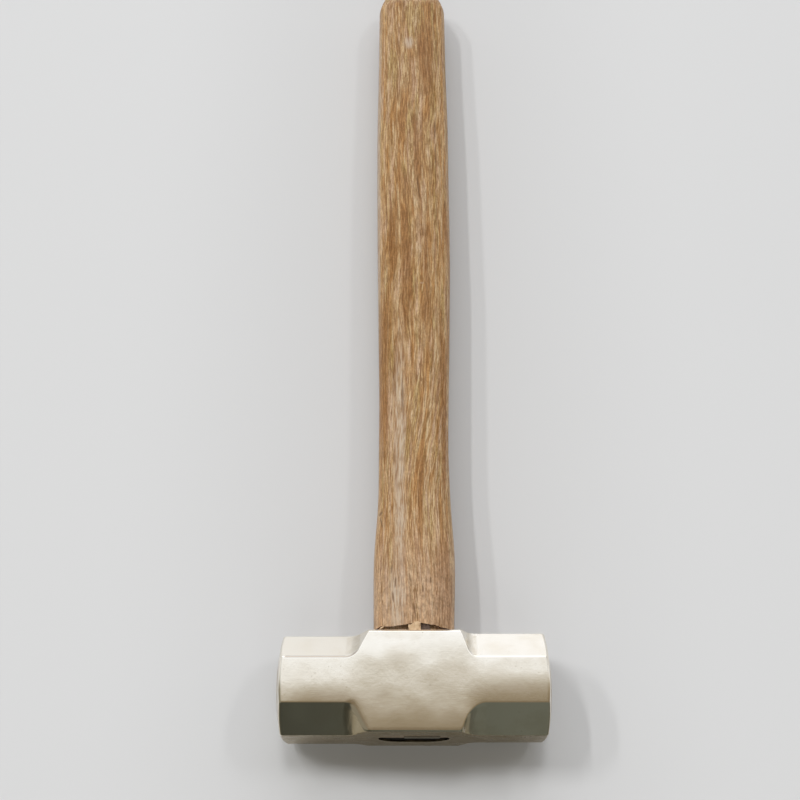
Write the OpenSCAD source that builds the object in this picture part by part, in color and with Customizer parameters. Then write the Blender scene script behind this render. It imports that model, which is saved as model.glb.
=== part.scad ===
// Double-faced sledge hammer with an octagonal brass head on a turned wooden handle.
// +X runs along the head, +Y from the head to the handle's butt, +Z up from the lower cheek.
// The origin is the middle of the lower cheek, under the centre of the eye.

/* [Head] */
// Length of the head from face to face
head_l = 117; // [96:1:150]
// Side of the square bar that the head is cut from
head_w = 42; // [38:0.5:56]
// Leg of the long corner chamfers, measured along a cheek
corner_leg = 11.5; // [7:0.5:13]
// Length of the uncut corner between two chamfer run-outs
block_l = 39; // [34:1:46]
// Slope of the run-out wall above the chamfer, in degrees
runout_angle = 56; // [45:1:70]
// Radius of the hollow at the foot of the run-out wall
runout_r = 4.5; // [2:0.5:6]
// Radius of the rounded crest where the run-out wall meets the corner
crest_r = 2.5; // [1:0.5:4]
// Radius of the dome on each striking face
crown_r = 100; // [90:5:600]
// Leg of the small bevel round each striking face
rim_leg = 1; // [0.5:0.1:2]

/* [Eye] */
// Length of the oval eye at its mouths, along the head
eye_l = 30; // [26:0.5:33]
// Width of the oval eye at its mouths, across the head
eye_w = 18.6; // [16:0.2:21]
// How far each wall draws in from a mouth to the waist
eye_waist = 0.9; // [0.3:0.1:1.4]

/* [Handle] */
// Length of the handle from the end of the tenon to the butt
handle_l = 400.5; // [300:0.5:480]
// Clear length between the head and the handle's shoulder
shoulder_gap = 3.6; // [2:0.2:6]
// Width of the handle at the shoulder
shoulder_w = 35.2; // [34:0.2:38]
// Thickness of the handle at the shoulder
shoulder_t = 26; // [24:0.5:28]
// Distance from the head to the swell behind the shoulder
swell_y = 36; // [26:1:44]
// Width of the swell behind the shoulder
swell_w = 36.3; // [34:0.1:39]
// Thickness of the swell behind the shoulder
swell_t = 26.6; // [24:0.1:29]
// Distance from the head to the start of the slim throat
throat_y = 71; // [60:1:80]
// Length of the slim throat
throat_l = 20; // [10:1:40]
// Width of the slim throat
throat_w = 32.5; // [28:0.1:35]
// Thickness of the slim throat
throat_t = 24.4; // [20:0.1:27]
// Distance from the butt to the far end of the grip's fullest part
grip_end = 96; // [80:1:110]
// Length of the grip's fullest part
grip_l = 35; // [20:1:50]
// Width of the grip at its fullest
grip_w = 36.7; // [32:0.1:40]
// Thickness of the grip at its fullest
grip_t = 27; // [24:0.1:30]
// Width of the handle where the butt bevel starts
butt_w = 35.5; // [32:0.1:40]
// Thickness of the handle where the butt bevel starts
butt_t = 26.4; // [24:0.1:30]
// Length of the butt bevel along the handle
butt_bevel_l = 7.5; // [4:0.5:12]
// Depth of the butt bevel
butt_bevel = 4.2; // [1:0.2:6]
// How far the end of the tenon lies below the top of the head
tenon_recess = 1; // [0.5:0.1:3]

/* [Wedges] */
// Length of the wooden wedge
wood_wedge_l = 28; // [22:1:34]
// Thickness of the wooden wedge at its driven end
wood_wedge_t = 6; // [4.6:0.2:7]
// Thickness of the wooden wedge at its tip
wood_wedge_tip = 1.2; // [0.8:0.1:2]
// Width of the steel wedge along the head
steel_wedge_w = 15; // [10:0.5:18]
// Length of the steel wedge
steel_wedge_l = 17; // [12:1:20]
// Thickness of the steel wedge at its driven end
steel_wedge_t = 2.6; // [1.8:0.1:3]
// Thickness of the steel wedge at its tip
steel_wedge_tip = 0.6; // [0.4:0.1:1]
// How far the steel wedge sits to one side of the eye's centre
steel_wedge_x = 3.4; // [-4:0.2:4]
// How far the steel wedge stands out of the tenon
steel_wedge_proud = 0.6; // [0:0.1:1]

/* [Fits] */
// Gap between the tenon and the eye, and round each wedge
fit_gap = 0.1; // [0.05:0.05:0.2]

/* [Hidden] */

half_w = head_w / 2;

// Distances from the head's long axis to a chamfer and to a square corner
chamfer_reach = (head_w - corner_leg) / sqrt(2);
corner_reach = head_w / sqrt(2);
runout_h = corner_reach - chamfer_reach;
runout_run = runout_h / tan(runout_angle);

// Half the distance between the centres of the eye's two round ends
eye_centre = (eye_l - eye_w) / 2;
mouth_r = eye_w / 2;
waist_r = mouth_r - eye_waist;

tenon_end = -half_w + tenon_recess;
shoulder_at = half_w + shoulder_gap;
butt_at = tenon_end + handle_l;

// Stations along the shaft: place, width, thickness, squareness of the section
shaft_stations = [
    [shoulder_at, shoulder_w, shoulder_t, 2.3],
    [half_w + swell_y, swell_w, swell_t, 2.3],
    [half_w + throat_y, throat_w, throat_t, 2.5],
    [half_w + throat_y + throat_l, throat_w, throat_t, 2.5],
    [butt_at - grip_end - grip_l, grip_w, grip_t, 2.9],
    [butt_at - grip_end, grip_w, grip_t, 3],
    [butt_at - butt_bevel_l, butt_w, butt_t, 3],
];

// Facets along each arc of a chamfer's run-out
arc_steps = 8;
// Facets round the shaft, and the longest step between its sections
shaft_sides = 40;
shaft_step = 9;
// Share of its width that the shaft keeps where it turns in under the shoulder
neck_share = 0.86;
// Length of the tenon that is buried in the shaft
tenon_root = 6;
// Overshoot of cutting shapes past the faces that they cut
over = 1;

$fn = 96;
crown_fn = 360;

function ease(t) = t * t * (3 - 2 * t);

// The station span that holds place y, and the eased blend of its two ends
function span_at(y) =
    let (ends = [for (i = [0 : len(shaft_stations) - 2]) if (shaft_stations[i + 1][0] >= y) i])
    len(ends) > 0 ? ends[0] : len(shaft_stations) - 2;

function section_at(y) =
    let (
        i = span_at(y),
        near = shaft_stations[i],
        far = shaft_stations[i + 1],
        t = ease(min(1, max(0, (y - near[0]) / (far[0] - near[0]))))
    )
    near * (1 - t) + far * t;

function rounded(v, power) = sign(v) * pow(abs(v), 2 / power);

// One ring of points round the shaft, drawn in by a margin
function ring(y, section, margin) = [
    for (k = [0 : shaft_sides - 1])
        let (a = 360 * k / shaft_sides)
        [
            (section[1] / 2 - margin) * rounded(cos(a), section[3]),
            y,
            (section[2] / 2 - margin) * rounded(sin(a), section[3]),
        ]
];

function neck_margin(section) = section[2] / 2 * (1 - neck_share);

// Closed skin through a list of rings, from the first to the last
function skin_faces(rings) =
    let (n = shaft_sides, last = (len(rings) - 1) * n)
    concat(
        [[for (k = [n - 1 : -1 : 0]) k]],
        [
            for (r = [0 : len(rings) - 2], k = [0 : n - 1], half = [0, 1])
                let (a = r * n + k, b = r * n + (k + 1) % n)
                half == 0 ? [a, b, a + n] : [b, b + n, a + n]
        ],
        [[for (k = [0 : n - 1]) last + k]]
    );

module skin(rings) {
    polyhedron(
        points = [for (r = rings, p = r) p],
        faces = skin_faces(rings),
        convexity = 4
    );
}

// Carries a shape drawn about the head's long axis up to its real height
module at_axis() {
    translate([0, 0, half_w]) children();
}

// Points of an arc about a centre, from one angle to another
function arc(centre, radius, from_a, to_a) = [
    for (i = [0 : arc_steps])
        let (a = from_a + (to_a - from_a) * i / arc_steps)
        centre + radius * [cos(a), sin(a)]
];

// Outline of what is cut away above one chamfer, with x along the head and y outwards:
// the chamfer, the hollow at the foot of the wall, the wall and its rounded crest,
// which leaves the head's corner at a slight slope
module runout_profile() {
    hollow = [block_l / 2 + runout_run + runout_r * tan(runout_angle / 2), runout_r];
    crest = [block_l / 2 - crest_r * tan(runout_angle / 2), runout_h - crest_r];
    end_a = 90 - runout_angle / (2 * arc_steps);
    tail = crest + crest_r * [cos(end_a) - sin(end_a), sin(end_a) + cos(end_a)];

    polygon(concat(
        [[head_l, 0]],
        arc(hollow, runout_r, 270, 270 - runout_angle),
        arc(crest, crest_r, 90 - runout_angle, end_a),
        [tail, [tail[0], runout_h + head_w], [head_l, runout_h + head_w]]
    ));
}

// What is cut away to make one chamfer and its run-out
module corner_cut() {
    translate([0, 0, chamfer_reach])
        rotate([90, 0, 0])
            linear_extrude(height = 2 * head_w, center = true)
                runout_profile();
}

// How far the dome of a striking face has fallen back at a distance from its middle
function dome_drop(reach) = crown_r - sqrt(crown_r * crown_r - reach * reach);

// What is cut away to make one side of the bevel round a striking face
module rim_cut(reach) {
    translate([head_l / 2 - dome_drop(reach) - rim_leg, 0, reach])
        rotate([0, 45, 0])
            translate([-2 * rim_leg, -head_w, 0])
                cube([6 * rim_leg, 2 * head_w, 4 * rim_leg]);
}

// Turned envelope whose ends give both striking faces their dome
module crowned_ends() {
    rotate([0, 90, 0])
        rotate_extrude($fn = crown_fn)
            intersection() {
                translate([0, -head_l / 2]) square([head_w, head_l]);
                translate([0, head_l / 2 - crown_r]) circle(r = crown_r, $fn = crown_fn * 4);
                translate([0, crown_r - head_l / 2]) circle(r = crown_r, $fn = crown_fn * 4);
            }
}

// Oval bar about the Y axis that widens from a radius r0 at y0 to r1 at y1
module tapered_oval(y0, r0, y1, r1) {
    for (side = [-1, 1])
        translate([side * eye_centre, y0, 0])
            rotate([-90, 0, 0])
                cylinder(h = y1 - y0, r1 = r0, r2 = r1);
    rotate([0, -90, 0])
        linear_extrude(height = 2 * eye_centre, center = true)
            polygon([[-r0, y0], [r0, y0], [r1, y1], [-r1, y1]]);
}

// The space of the eye, drawn in by a margin, between two places along Y
module eye_space(from_y, to_y, margin) {
    slope = eye_waist / half_w;
    tapered_oval(0, waist_r - margin, to_y, waist_r - margin + slope * to_y);
    mirror([0, 1, 0])
        tapered_oval(0, waist_r - margin, -from_y, waist_r - margin - slope * from_y);
}

// Plate that thins along +Y, grown by a gap all round
module wedge_plate(from_y, length, width, thick, tip, gap) {
    rotate([0, -90, 0])
        linear_extrude(height = width + 2 * gap, center = true)
            polygon([
                [-thick / 2 - gap, from_y],
                [thick / 2 + gap, from_y],
                [tip / 2 + gap, from_y + length + gap],
                [-tip / 2 - gap, from_y + length + gap],
            ]);
}

module wood_wedge_shape(gap) {
    wedge_plate(tenon_end, wood_wedge_l, head_w, wood_wedge_t, wood_wedge_tip, gap);
}

module steel_wedge_shape(gap) {
    translate([steel_wedge_x, 0, 0])
        wedge_plate(
            tenon_end - steel_wedge_proud, steel_wedge_l, steel_wedge_w,
            steel_wedge_t, steel_wedge_tip, gap
        );
}

module head() {
    color([0.86, 0.82, 0.70])
        at_axis()
            difference() {
                intersection() {
                    cube([head_l, head_w, head_w], center = true);
                    crowned_ends();
                }
                for (end = [0, 1], turn = [0 : 90 : 270])
                    mirror([end, 0, 0]) {
                        rotate([turn + 45, 0, 0]) corner_cut();
                        rotate([turn, 0, 0]) rim_cut(half_w);
                        rotate([turn + 45, 0, 0]) rim_cut(chamfer_reach);
                    }
                eye_space(-half_w - over, half_w + over, 0);
            }
}

module shaft() {
    bevel_start = butt_at - butt_bevel_l;
    steps = ceil((bevel_start - shoulder_at) / shaft_step);
    first = section_at(shoulder_at);
    last = section_at(bevel_start);
    skin(concat(
        [ring(half_w + fit_gap, first, neck_margin(first))],
        [
            for (i = [0 : steps])
                let (y = shoulder_at + (bevel_start - shoulder_at) * i / steps)
                ring(y, section_at(y), 0)
        ],
        [ring(butt_at, last, butt_bevel)]
    ));
}

module handle() {
    color([0.66, 0.53, 0.37])
        at_axis()
            difference() {
                union() {
                    shaft();
                    eye_space(tenon_end, shoulder_at + tenon_root, fit_gap);
                }
                wood_wedge_shape(fit_gap);
            }
}

module wood_wedge() {
    color([0.55, 0.42, 0.28])
        at_axis()
            difference() {
                intersection() {
                    wood_wedge_shape(0);
                    eye_space(tenon_end, half_w, fit_gap);
                }
                steel_wedge_shape(fit_gap);
            }
}

module steel_wedge() {
    color([0.45, 0.44, 0.42])
        at_axis() steel_wedge_shape(0);
}

head();
handle();
wood_wedge();
steel_wedge();
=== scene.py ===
"""Looks of a double-faced brass sledge hammer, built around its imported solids.

Lengths are in millimetres until a piece is finished, which brings it to metres.
"""

import logging
import math
from collections.abc import Callable, Sequence
from dataclasses import dataclass, field
from enum import Enum

import bmesh
import bpy
from bmesh.types import BMesh, BMVert
from mathutils import Matrix, Vector, noise


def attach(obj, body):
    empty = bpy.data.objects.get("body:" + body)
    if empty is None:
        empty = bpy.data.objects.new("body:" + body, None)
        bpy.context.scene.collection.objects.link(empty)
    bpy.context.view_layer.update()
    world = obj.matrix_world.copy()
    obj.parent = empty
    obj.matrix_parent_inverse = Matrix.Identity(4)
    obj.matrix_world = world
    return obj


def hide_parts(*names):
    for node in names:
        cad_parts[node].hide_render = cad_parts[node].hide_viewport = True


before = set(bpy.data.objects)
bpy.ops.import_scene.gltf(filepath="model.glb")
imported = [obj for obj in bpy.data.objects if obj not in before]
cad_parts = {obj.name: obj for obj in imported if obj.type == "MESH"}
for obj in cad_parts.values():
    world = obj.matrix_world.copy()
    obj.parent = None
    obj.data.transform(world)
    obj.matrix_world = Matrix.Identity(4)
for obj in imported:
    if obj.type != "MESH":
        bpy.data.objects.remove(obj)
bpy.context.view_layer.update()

MM = 0.001  # one millimetre, in metres
BODY = "root"  # the body that every piece rides on
AXIS_Z = 21.0  # height of the head's and the handle's axis
OVAL_CROSSING = 40.0  # how fast an oval's points cross over from one end to the other
MERGE = 1e-4  # distance below which two points of a cut are one
SHIFT_WAY = (1.0, 0.7, -1.0)  # direction in which a pattern is shifted
MIX_INPUTS, MIX_OUTPUT = (0, 6, 7), 2  # a mix node's share, its two colours and its result
LOG = logging.getLogger("hammer")

Colour = tuple[float, float, float]
Point2 = tuple[float, float]
Point3 = tuple[float, float, float]
Socket = bpy.types.NodeSocket

WHITE: Colour = (1.0, 1.0, 1.0)


def between(low: float, high: float, value: float) -> float:
    """Return how far value has come from low to high, softly, as 0 to 1."""
    t = min(1.0, max(0.0, (value - low) / (high - low)))
    return t * t * (3 - 2 * t)


@dataclass(frozen=True)
class Wave:
    """A smooth unevenness of a shape.

    Attributes:
        sizes: size of its waves along x, y and z.
        seed: number that picks its pattern.
        height: about how far it rises and falls.
    """

    sizes: Point3
    seed: float
    height: float = 1.0

    def at(self, point: Sequence[float]) -> float:
        """Return its height at a place, about zero."""
        scaled = [p / s + self.seed for p, s in zip(point, self.sizes)]
        return noise.noise(Vector(scaled)) * self.height


@dataclass(frozen=True)
class Pattern:
    """A noise that runs through a material.

    Attributes:
        sizes: size of its features along x, y and z.
        detail: number of finer layers.
        rough: strength of the finer layers.
        shift: moves it, to pick another part of it.
    """

    sizes: Point3
    detail: float = 2.0
    rough: float = 0.5
    shift: float = 0.0


@dataclass(frozen=True)
class Span:
    """A soft passage from one range of values to another, held at its ends.

    Attributes:
        low: where the first range starts, which may be above its end.
        high: where the first range ends.
        to_low: result at low.
        to_high: result at high.
    """

    low: float | Socket
    high: float | Socket
    to_low: float = 0.0
    to_high: float = 1.0


class Nodes:
    """Short way to add and wire the shader nodes of one tree."""

    def __init__(self, tree: bpy.types.NodeTree) -> None:
        """Start with an empty tree."""
        self.tree = tree
        tree.nodes.clear()

    def add(self, kind: str, *values: object, **settings: object) -> bpy.types.Node:
        """Add a node.

        Args:
            kind: the node's type name without its leading words.
            values: what its first inputs are fed, in order.
            settings: attributes to set on it.

        Returns:
            The new node.
        """
        made = self.tree.nodes.new("ShaderNode" + kind)
        for name, value in settings.items():
            setattr(made, name, value)
        for socket, value in zip(made.inputs, values):
            self.feed(socket, value)
        return made

    def feed(self, socket: Socket, value: object) -> None:
        """Wire a socket to another, or set it to a plain value.

        Args:
            socket: the input.
            value: the output to wire to it, or its value.
        """
        if isinstance(value, Socket):
            self.tree.links.new(value, socket)
        elif isinstance(value, tuple) and socket.type == "RGBA":
            socket.default_value = (*value, 1.0)
        else:
            socket.default_value = value

    def math(self, operation: str, *values: object) -> Socket:
        """Return the result of a math node on up to three values."""
        return self.add("Math", *values, operation=operation).outputs[0]

    def times(self, first: object, *others: object) -> Socket:
        """Multiply values.

        Args:
            first: the first value.
            others: the other values.

        Returns:
            The product.
        """
        for other in others:
            first = self.math("MULTIPLY", first, other)
        return first

    def span(self, value: object, span: Span) -> Socket:
        """Return where a value lies in a span, softly."""
        return self.add("MapRange", value, span.low, span.high, span.to_low, span.to_high,
                        interpolation_type="SMOOTHSTEP").outputs[0]

    def mix(self, share: object, first: object, second: object, blend: str = "MIX") -> Socket:
        """Blend two colours.

        Args:
            share: how much of the second is used.
            first: the first colour.
            second: the second colour.
            blend: the way they are blended.

        Returns:
            The blended colour.
        """
        made = self.add("Mix", data_type="RGBA", blend_type=blend)
        for index, value in zip(MIX_INPUTS, (share, first, second)):
            self.feed(made.inputs[index], value)
        return made.outputs[MIX_OUTPUT]

    def tint(self, colour: object, by: object) -> Socket:
        """Return a colour multiplied by another colour, or by a grey value."""
        return self.mix(1.0, colour, by, "MULTIPLY")

    def ramp(self, value: object, stops: Sequence[tuple[float, Colour]]) -> Socket:
        """Colour ramp over a value.

        Args:
            value: the value to read, from 0 to 1.
            stops: place and colour of each stop.

        Returns:
            The colour.
        """
        made = self.add("ValToRGB", value)
        bar = made.color_ramp
        while len(bar.elements) < len(stops):
            bar.elements.new(0.5)
        for stop, (place, colour) in zip(bar.elements, stops):
            stop.position = place
            stop.color = (*colour, 1.0)
        return made.outputs[0]

    def place(self) -> Socket:
        """Read the place on the object.

        Returns:
            The place, in millimetres.
        """
        scale = self.add("Mapping", self.add("TexCoord").outputs["Object"])
        scale.inputs["Scale"].default_value = (1 / MM,) * 3
        return scale.outputs[0]

    def parts(self, vector: Socket) -> list[Socket]:
        """Return the x, y and z of a vector."""
        return list(self.add("SeparateXYZ", vector).outputs)

    def noise(self, vector: Socket, pattern: Pattern) -> Socket:
        """Noise over a place.

        Args:
            vector: the place in millimetres.
            pattern: the noise's pattern.

        Returns:
            A value about 0.5.
        """
        shift = tuple(pattern.shift * way for way in SHIFT_WAY)
        mapping = self.add("Mapping", vector, shift)
        mapping.inputs["Scale"].default_value = tuple(1 / s for s in pattern.sizes)
        made = self.add("TexNoise", mapping.outputs[0])
        made.inputs["Scale"].default_value = 1.0
        made.inputs["Detail"].default_value = pattern.detail
        made.inputs["Roughness"].default_value = pattern.rough
        return made.outputs["Fac"]

    def bump(self, height: object, distance: float, strength: float,
             under: Socket | None = None) -> Socket:
        """Relief from a height.

        Args:
            height: the height, where 1 stands for the whole distance.
            distance: height of the relief in millimetres.
            strength: share of the relief that shows.
            under: a coarser relief that this one lies on.

        Returns:
            The bumped normal.
        """
        made = self.add("Bump")
        made.inputs["Strength"].default_value = strength
        made.inputs["Distance"].default_value = distance * MM
        self.feed(made.inputs["Height"], height)
        if under is not None:
            self.feed(made.inputs["Normal"], under)
        return made.outputs[0]

    def surface(self, **sockets: object) -> None:
        """Add the surface shader, and its output.

        Args:
            sockets: value or socket by input name, with _ for a blank.
        """
        shader = self.add("BsdfPrincipled")
        for name, value in sockets.items():
            self.feed(shader.inputs[name.replace("_", " ")], value)
        self.add("OutputMaterial", shader.outputs[0])


@dataclass(frozen=True)
class Finish:
    """A named finish that is laid down with shader nodes.

    Attributes:
        name: name of its material.
    """

    name: str = "finish"

    def material(self) -> bpy.types.Material:
        """Make the material once, and share it.

        Returns:
            The material.
        """
        known = bpy.data.materials.get(self.name)
        if known is not None:
            return known
        made = bpy.data.materials.new(self.name)
        made.use_nodes = True
        self.lay(Nodes(made.node_tree))
        return made

    def lay(self, nodes: Nodes) -> None:
        """Lay the finish's nodes.

        Args:
            nodes: the empty tree.
        """
        raise NotImplementedError


@dataclass(frozen=True)
class PolishedBrass(Finish):
    """Pale hand-polished brass with a faint bloom, fine scratches and worn edges.

    Attributes:
        clean: colour where the polish is fresh.
        bloomed: colour under the faint bloom.
        stain: colour of the tarnish that stays in the hollows and pits.
        line_colour: colour of the dark line along the upper cheek's left edge.
        clouds: pattern of the bloom.
        haze: pattern of what the polishing cloth left uneven.
        across: pattern of the scratches across the head.
        along: pattern of the scratches along the head.
        pits: pattern of the small pits.
        cloudy: bloom by what the clouds give.
        clouds_x: share of the bloom by the place along the head.
        worn: wear of an edge by how it turns.
        hollow: dirt of a hollow by how it turns.
        clogged: share of the tarnish in a hollow by the haze.
        pitted: share of the tarnish by what the pits give.
        line_edge: share of the dark line by how the surface turns.
        line_start: its share along x where it starts.
        line_end: its share along x where it ends.
        line_y: its share along y.
        line_z: its share along z.
        bloom_share: most of the bloom's colour.
        line_share: most of the dark line's colour.
        across_share: strength of the scratches across the head.
        sheen: roughness of the clean polish.
        bloom_rough: what the bloom adds to it.
        haze_rough: what the haze adds to it.
        worn_rough: what wear adds to it.
        hollow_rough: what a dirty hollow adds to it.
        haze_depth: depth of the haze's relief.
        scratch_depth: depth of the scratches.
        relief: share of both that shows.
    """

    name: str = "polished_brass"
    clean: Colour = (0.94, 0.895, 0.80)
    bloomed: Colour = (0.865, 0.80, 0.68)
    stain: Colour = (0.50, 0.40, 0.25)
    line_colour: Colour = (0.22, 0.16, 0.10)
    clouds: Pattern = Pattern((16, 12, 16), 4, 0.55)
    haze: Pattern = Pattern((2.2, 2.6, 2.2), 3, 0.6, 3.1)
    across: Pattern = Pattern((0.16, 6, 0.6), 2, 0.5, 7.7)
    along: Pattern = Pattern((8, 0.2, 0.2), 2, 0.5, 1.9)
    pits: Pattern = Pattern((0.7, 0.7, 0.7), 1, 0.4, 5.2)
    cloudy: Span = Span(0.40, 0.66)
    clouds_x: Span = Span(-52.0, -42.0, 0.2, 1.0)
    worn: Span = Span(0.2, 0.9)
    hollow: Span = Span(-0.02, -0.60)
    clogged: Span = Span(0.35, 0.7, 0.15, 0.45)
    pitted: Span = Span(0.72, 0.80, 0.0, 0.45)
    line_edge: Span = Span(0.35, 0.7)
    line_start: Span = Span(-54.5, -53.5)
    line_end: Span = Span(-22.0, -25.0)
    line_y: Span = Span(5.0, 8.0)
    line_z: Span = Span(40.6, 41.4)
    bloom_share: float = 0.7
    line_share: float = 0.6
    across_share: float = 0.6
    sheen: float = 0.10
    bloom_rough: float = 0.04
    haze_rough: float = 0.04
    worn_rough: float = -0.03
    hollow_rough: float = 0.08
    haze_depth: float = 0.022
    scratch_depth: float = 0.004
    relief: float = 0.5

    def lay(self, nodes: Nodes) -> None:
        """Lay the finish's nodes.

        Args:
            nodes: the empty tree.
        """
        place = nodes.place()
        x, y, z = nodes.parts(place)
        edge = nodes.add("Attribute", attribute_name="edge").outputs["Fac"]
        bloom = nodes.times(nodes.span(nodes.noise(place, self.clouds), self.cloudy),
                            nodes.span(x, self.clouds_x))
        haze = nodes.noise(place, self.haze)
        pits = nodes.span(nodes.noise(place, self.pits), self.pitted)
        worn = nodes.span(edge, self.worn)
        hollow = nodes.span(edge, self.hollow)
        line = nodes.times(nodes.span(edge, self.line_edge), nodes.span(y, self.line_y),
                           nodes.span(x, self.line_end), nodes.span(x, self.line_start),
                           nodes.span(z, self.line_z), self.line_share)

        colour = nodes.mix(nodes.times(bloom, self.bloom_share), self.clean, self.bloomed)
        colour = nodes.mix(nodes.times(hollow, nodes.span(haze, self.clogged)), colour, self.stain)
        colour = nodes.mix(pits, colour, self.stain)
        # A thin dark line along the upper cheek's left edge.
        colour = nodes.mix(line, colour, self.line_colour)

        rough: object = self.sheen
        for mask, more in ((bloom, self.bloom_rough), (haze, self.haze_rough),
                           (worn, self.worn_rough), (hollow, self.hollow_rough)):
            rough = nodes.math("MULTIPLY_ADD", mask, more, rough)

        scratches = nodes.math("MULTIPLY_ADD", nodes.noise(place, self.across),
                               self.across_share, nodes.noise(place, self.along))
        relief = nodes.bump(haze, self.haze_depth, self.relief)
        relief = nodes.bump(scratches, self.scratch_depth, self.relief, relief)
        nodes.surface(Base_Color=colour, Metallic=1.0, Roughness=rough, Normal=relief)


@dataclass(frozen=True)
class SandedBrass(Finish):
    """Brass that was only sanded: the head's top and its striking faces.

    Attributes:
        bare: colour of the sanded metal.
        dirt: colour of what stays between the scratches.
        scratches: pattern of the scratches.
        patches: pattern of the dirt.
        scratched: share of the dirt by what the scratches give.
        dirty: share of the dirt by what the patches give.
        rough: roughness by what the patches give.
        depth: depth of the scratches.
        relief: share of it that shows.
    """

    name: str = "sanded_brass"
    bare: Colour = (0.56, 0.48, 0.35)
    dirt: Colour = (0.28, 0.21, 0.125)
    scratches: Pattern = Pattern((5, 0.3, 0.25), 3, 0.6, 3.3)
    patches: Pattern = Pattern((5, 5, 3), 3, 0.55, 6.6)
    scratched: Span = Span(0.4, 0.75)
    dirty: Span = Span(0.3, 0.7)
    rough: Span = Span(0.3, 0.7, 0.26, 0.36)
    depth: float = 0.01
    relief: float = 0.5

    def lay(self, nodes: Nodes) -> None:
        """Lay the finish's nodes.

        Args:
            nodes: the empty tree.
        """
        place = nodes.place()
        scratch = nodes.noise(place, self.scratches)
        patch = nodes.noise(place, self.patches)
        share = nodes.times(nodes.span(scratch, self.scratched), nodes.span(patch, self.dirty))
        nodes.surface(Base_Color=nodes.mix(share, self.bare, self.dirt), Metallic=1.0,
                      Roughness=nodes.span(patch, self.rough),
                      Normal=nodes.bump(scratch, self.depth, self.relief))


@dataclass(frozen=True)
class Patchy(Finish):
    """A plain finish with patches and a fine grain.

    Attributes:
        plain: colour of most of it.
        patch: colour of its patches.
        grain: pattern of the grain, which also gives the relief.
        patches: pattern of the patches.
        cover: share of the patches' colour by what their pattern gives.
        grained: share of that colour by what the grain gives.
        rough: roughness by what the grain gives.
        metallic: 1 for clean metal, less under a skin, 0 for wood.
        depth: depth of the grain.
        relief: share of it that shows.
    """

    plain: Colour = WHITE
    patch: Colour = WHITE
    grain: Pattern = Pattern((1, 1, 1))
    patches: Pattern = Pattern((1, 1, 1))
    cover: Span = Span(0, 1)
    grained: Span | None = None
    rough: Span = Span(0, 1)
    metallic: float = 0.0
    depth: float = 0.0
    relief: float = 0.8

    def lay(self, nodes: Nodes) -> None:
        """Lay the finish's nodes.

        Args:
            nodes: the empty tree.
        """
        place = nodes.place()
        grain = nodes.noise(place, self.grain)
        share = nodes.span(nodes.noise(place, self.patches), self.cover)
        colour = nodes.mix(share, self.plain, self.patch)
        if self.grained is not None:
            colour = nodes.mix(nodes.span(grain, self.grained), colour, self.patch)
        nodes.surface(Base_Color=colour, Metallic=self.metallic,
                      Roughness=nodes.span(grain, self.rough),
                      Normal=nodes.bump(grain, self.depth, self.relief))


@dataclass(frozen=True)
class CastWall(Patchy):
    """Dark rough wall of the eye, as it came from the mould, with near-black patches."""

    name: str = "cast_wall"
    plain: Colour = (0.13, 0.10, 0.06)
    patch: Colour = (0.015, 0.012, 0.009)
    grain: Pattern = Pattern((0.9, 0.9, 0.9), 4, 0.6)
    patches: Pattern = Pattern((4, 4, 4), 2, 0.5, 2.3)
    cover: Span = Span(0.3, 0.65, 0.35, 1.0)
    rough: Span = Span(0.3, 0.7, 0.45, 0.8)
    metallic: float = 0.7
    depth: float = 0.15


@dataclass(frozen=True)
class SlotShadedSteel(Patchy):
    """Mild steel of the wedge, ground; its near-black colour paints the shade in the eye's slot.
    """

    name: str = "wedge_steel"
    # Painted shade: near-black, for the shade in the eye's slot.
    plain: Colour = (0.085, 0.075, 0.065)
    patch: Colour = (0.030, 0.025, 0.021)
    grain: Pattern = Pattern((0.1, 3, 0.1))
    patches: Pattern = Pattern((1.6, 1.6, 1.6), 3, 0.6, 2.2)
    cover: Span = Span(0.42, 0.62)
    rough: Span = Span(0.2, 0.8, 0.35, 0.6)
    metallic: float = 0.8
    depth: float = 0.02
    relief: float = 0.5


@dataclass(frozen=True)
class TornWood(Patchy):
    """Bare wood that was cut or torn, with darker soiled patches."""

    name: str = "torn_wood"
    plain: Colour = (0.270, 0.140, 0.088)
    patch: Colour = (0.090, 0.043, 0.032)
    grain: Pattern = Pattern((0.5, 3.0, 0.5), 3, 0.6)
    patches: Pattern = Pattern((3, 3, 3), 2, 0.5, 5.5)
    cover: Span = Span(0.25, 0.55)
    grained: Span | None = Span(0.5, 0.8, 0.0, 0.5)
    rough: Span = Span(0.2, 0.8, 0.7, 0.95)
    depth: float = 0.2


# Painted shade: the tenon's end is near-black for the shade in the eye's slot, over its darker end
# grain.
SHADED_TENON_END = TornWood("tenon_end", (0.030, 0.020, 0.016), (0.010, 0.008, 0.007),
                     cover=Span(0.15, 0.45))
# Painted shade: the wooden wedge is near-black for the shade in the eye's slot, over its dark end
# grain.
SHADED_WEDGE_WOOD = TornWood("wedge_wood", (0.045, 0.030, 0.022), (0.012, 0.009, 0.008))
FRESH_WOOD = TornWood("fresh_wood", (0.66, 0.48, 0.30), (0.50, 0.33, 0.19),
                      cover=Span(0.45, 0.75))
# Painted shadow: this grey-brown wood colours the sliver that stands for the raised chip's shadow.
SHADOW_WOOD = TornWood("shadow_wood", (0.20, 0.145, 0.11), (0.10, 0.065, 0.05),
                     cover=Span(0.35, 0.65))


@dataclass(frozen=True)
class GrainMark:
    """A band, fleck or crack in the grain.

    Attributes:
        x: place of its middle across the handle.
        y: place of its middle along the handle.
        half_width: half its width.
        half_length: half its length.
        lean: how far it leans towards +X for each millimetre along +Y.
    """

    x: float
    y: float
    half_width: float
    half_length: float
    lean: float = 0.0


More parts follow.
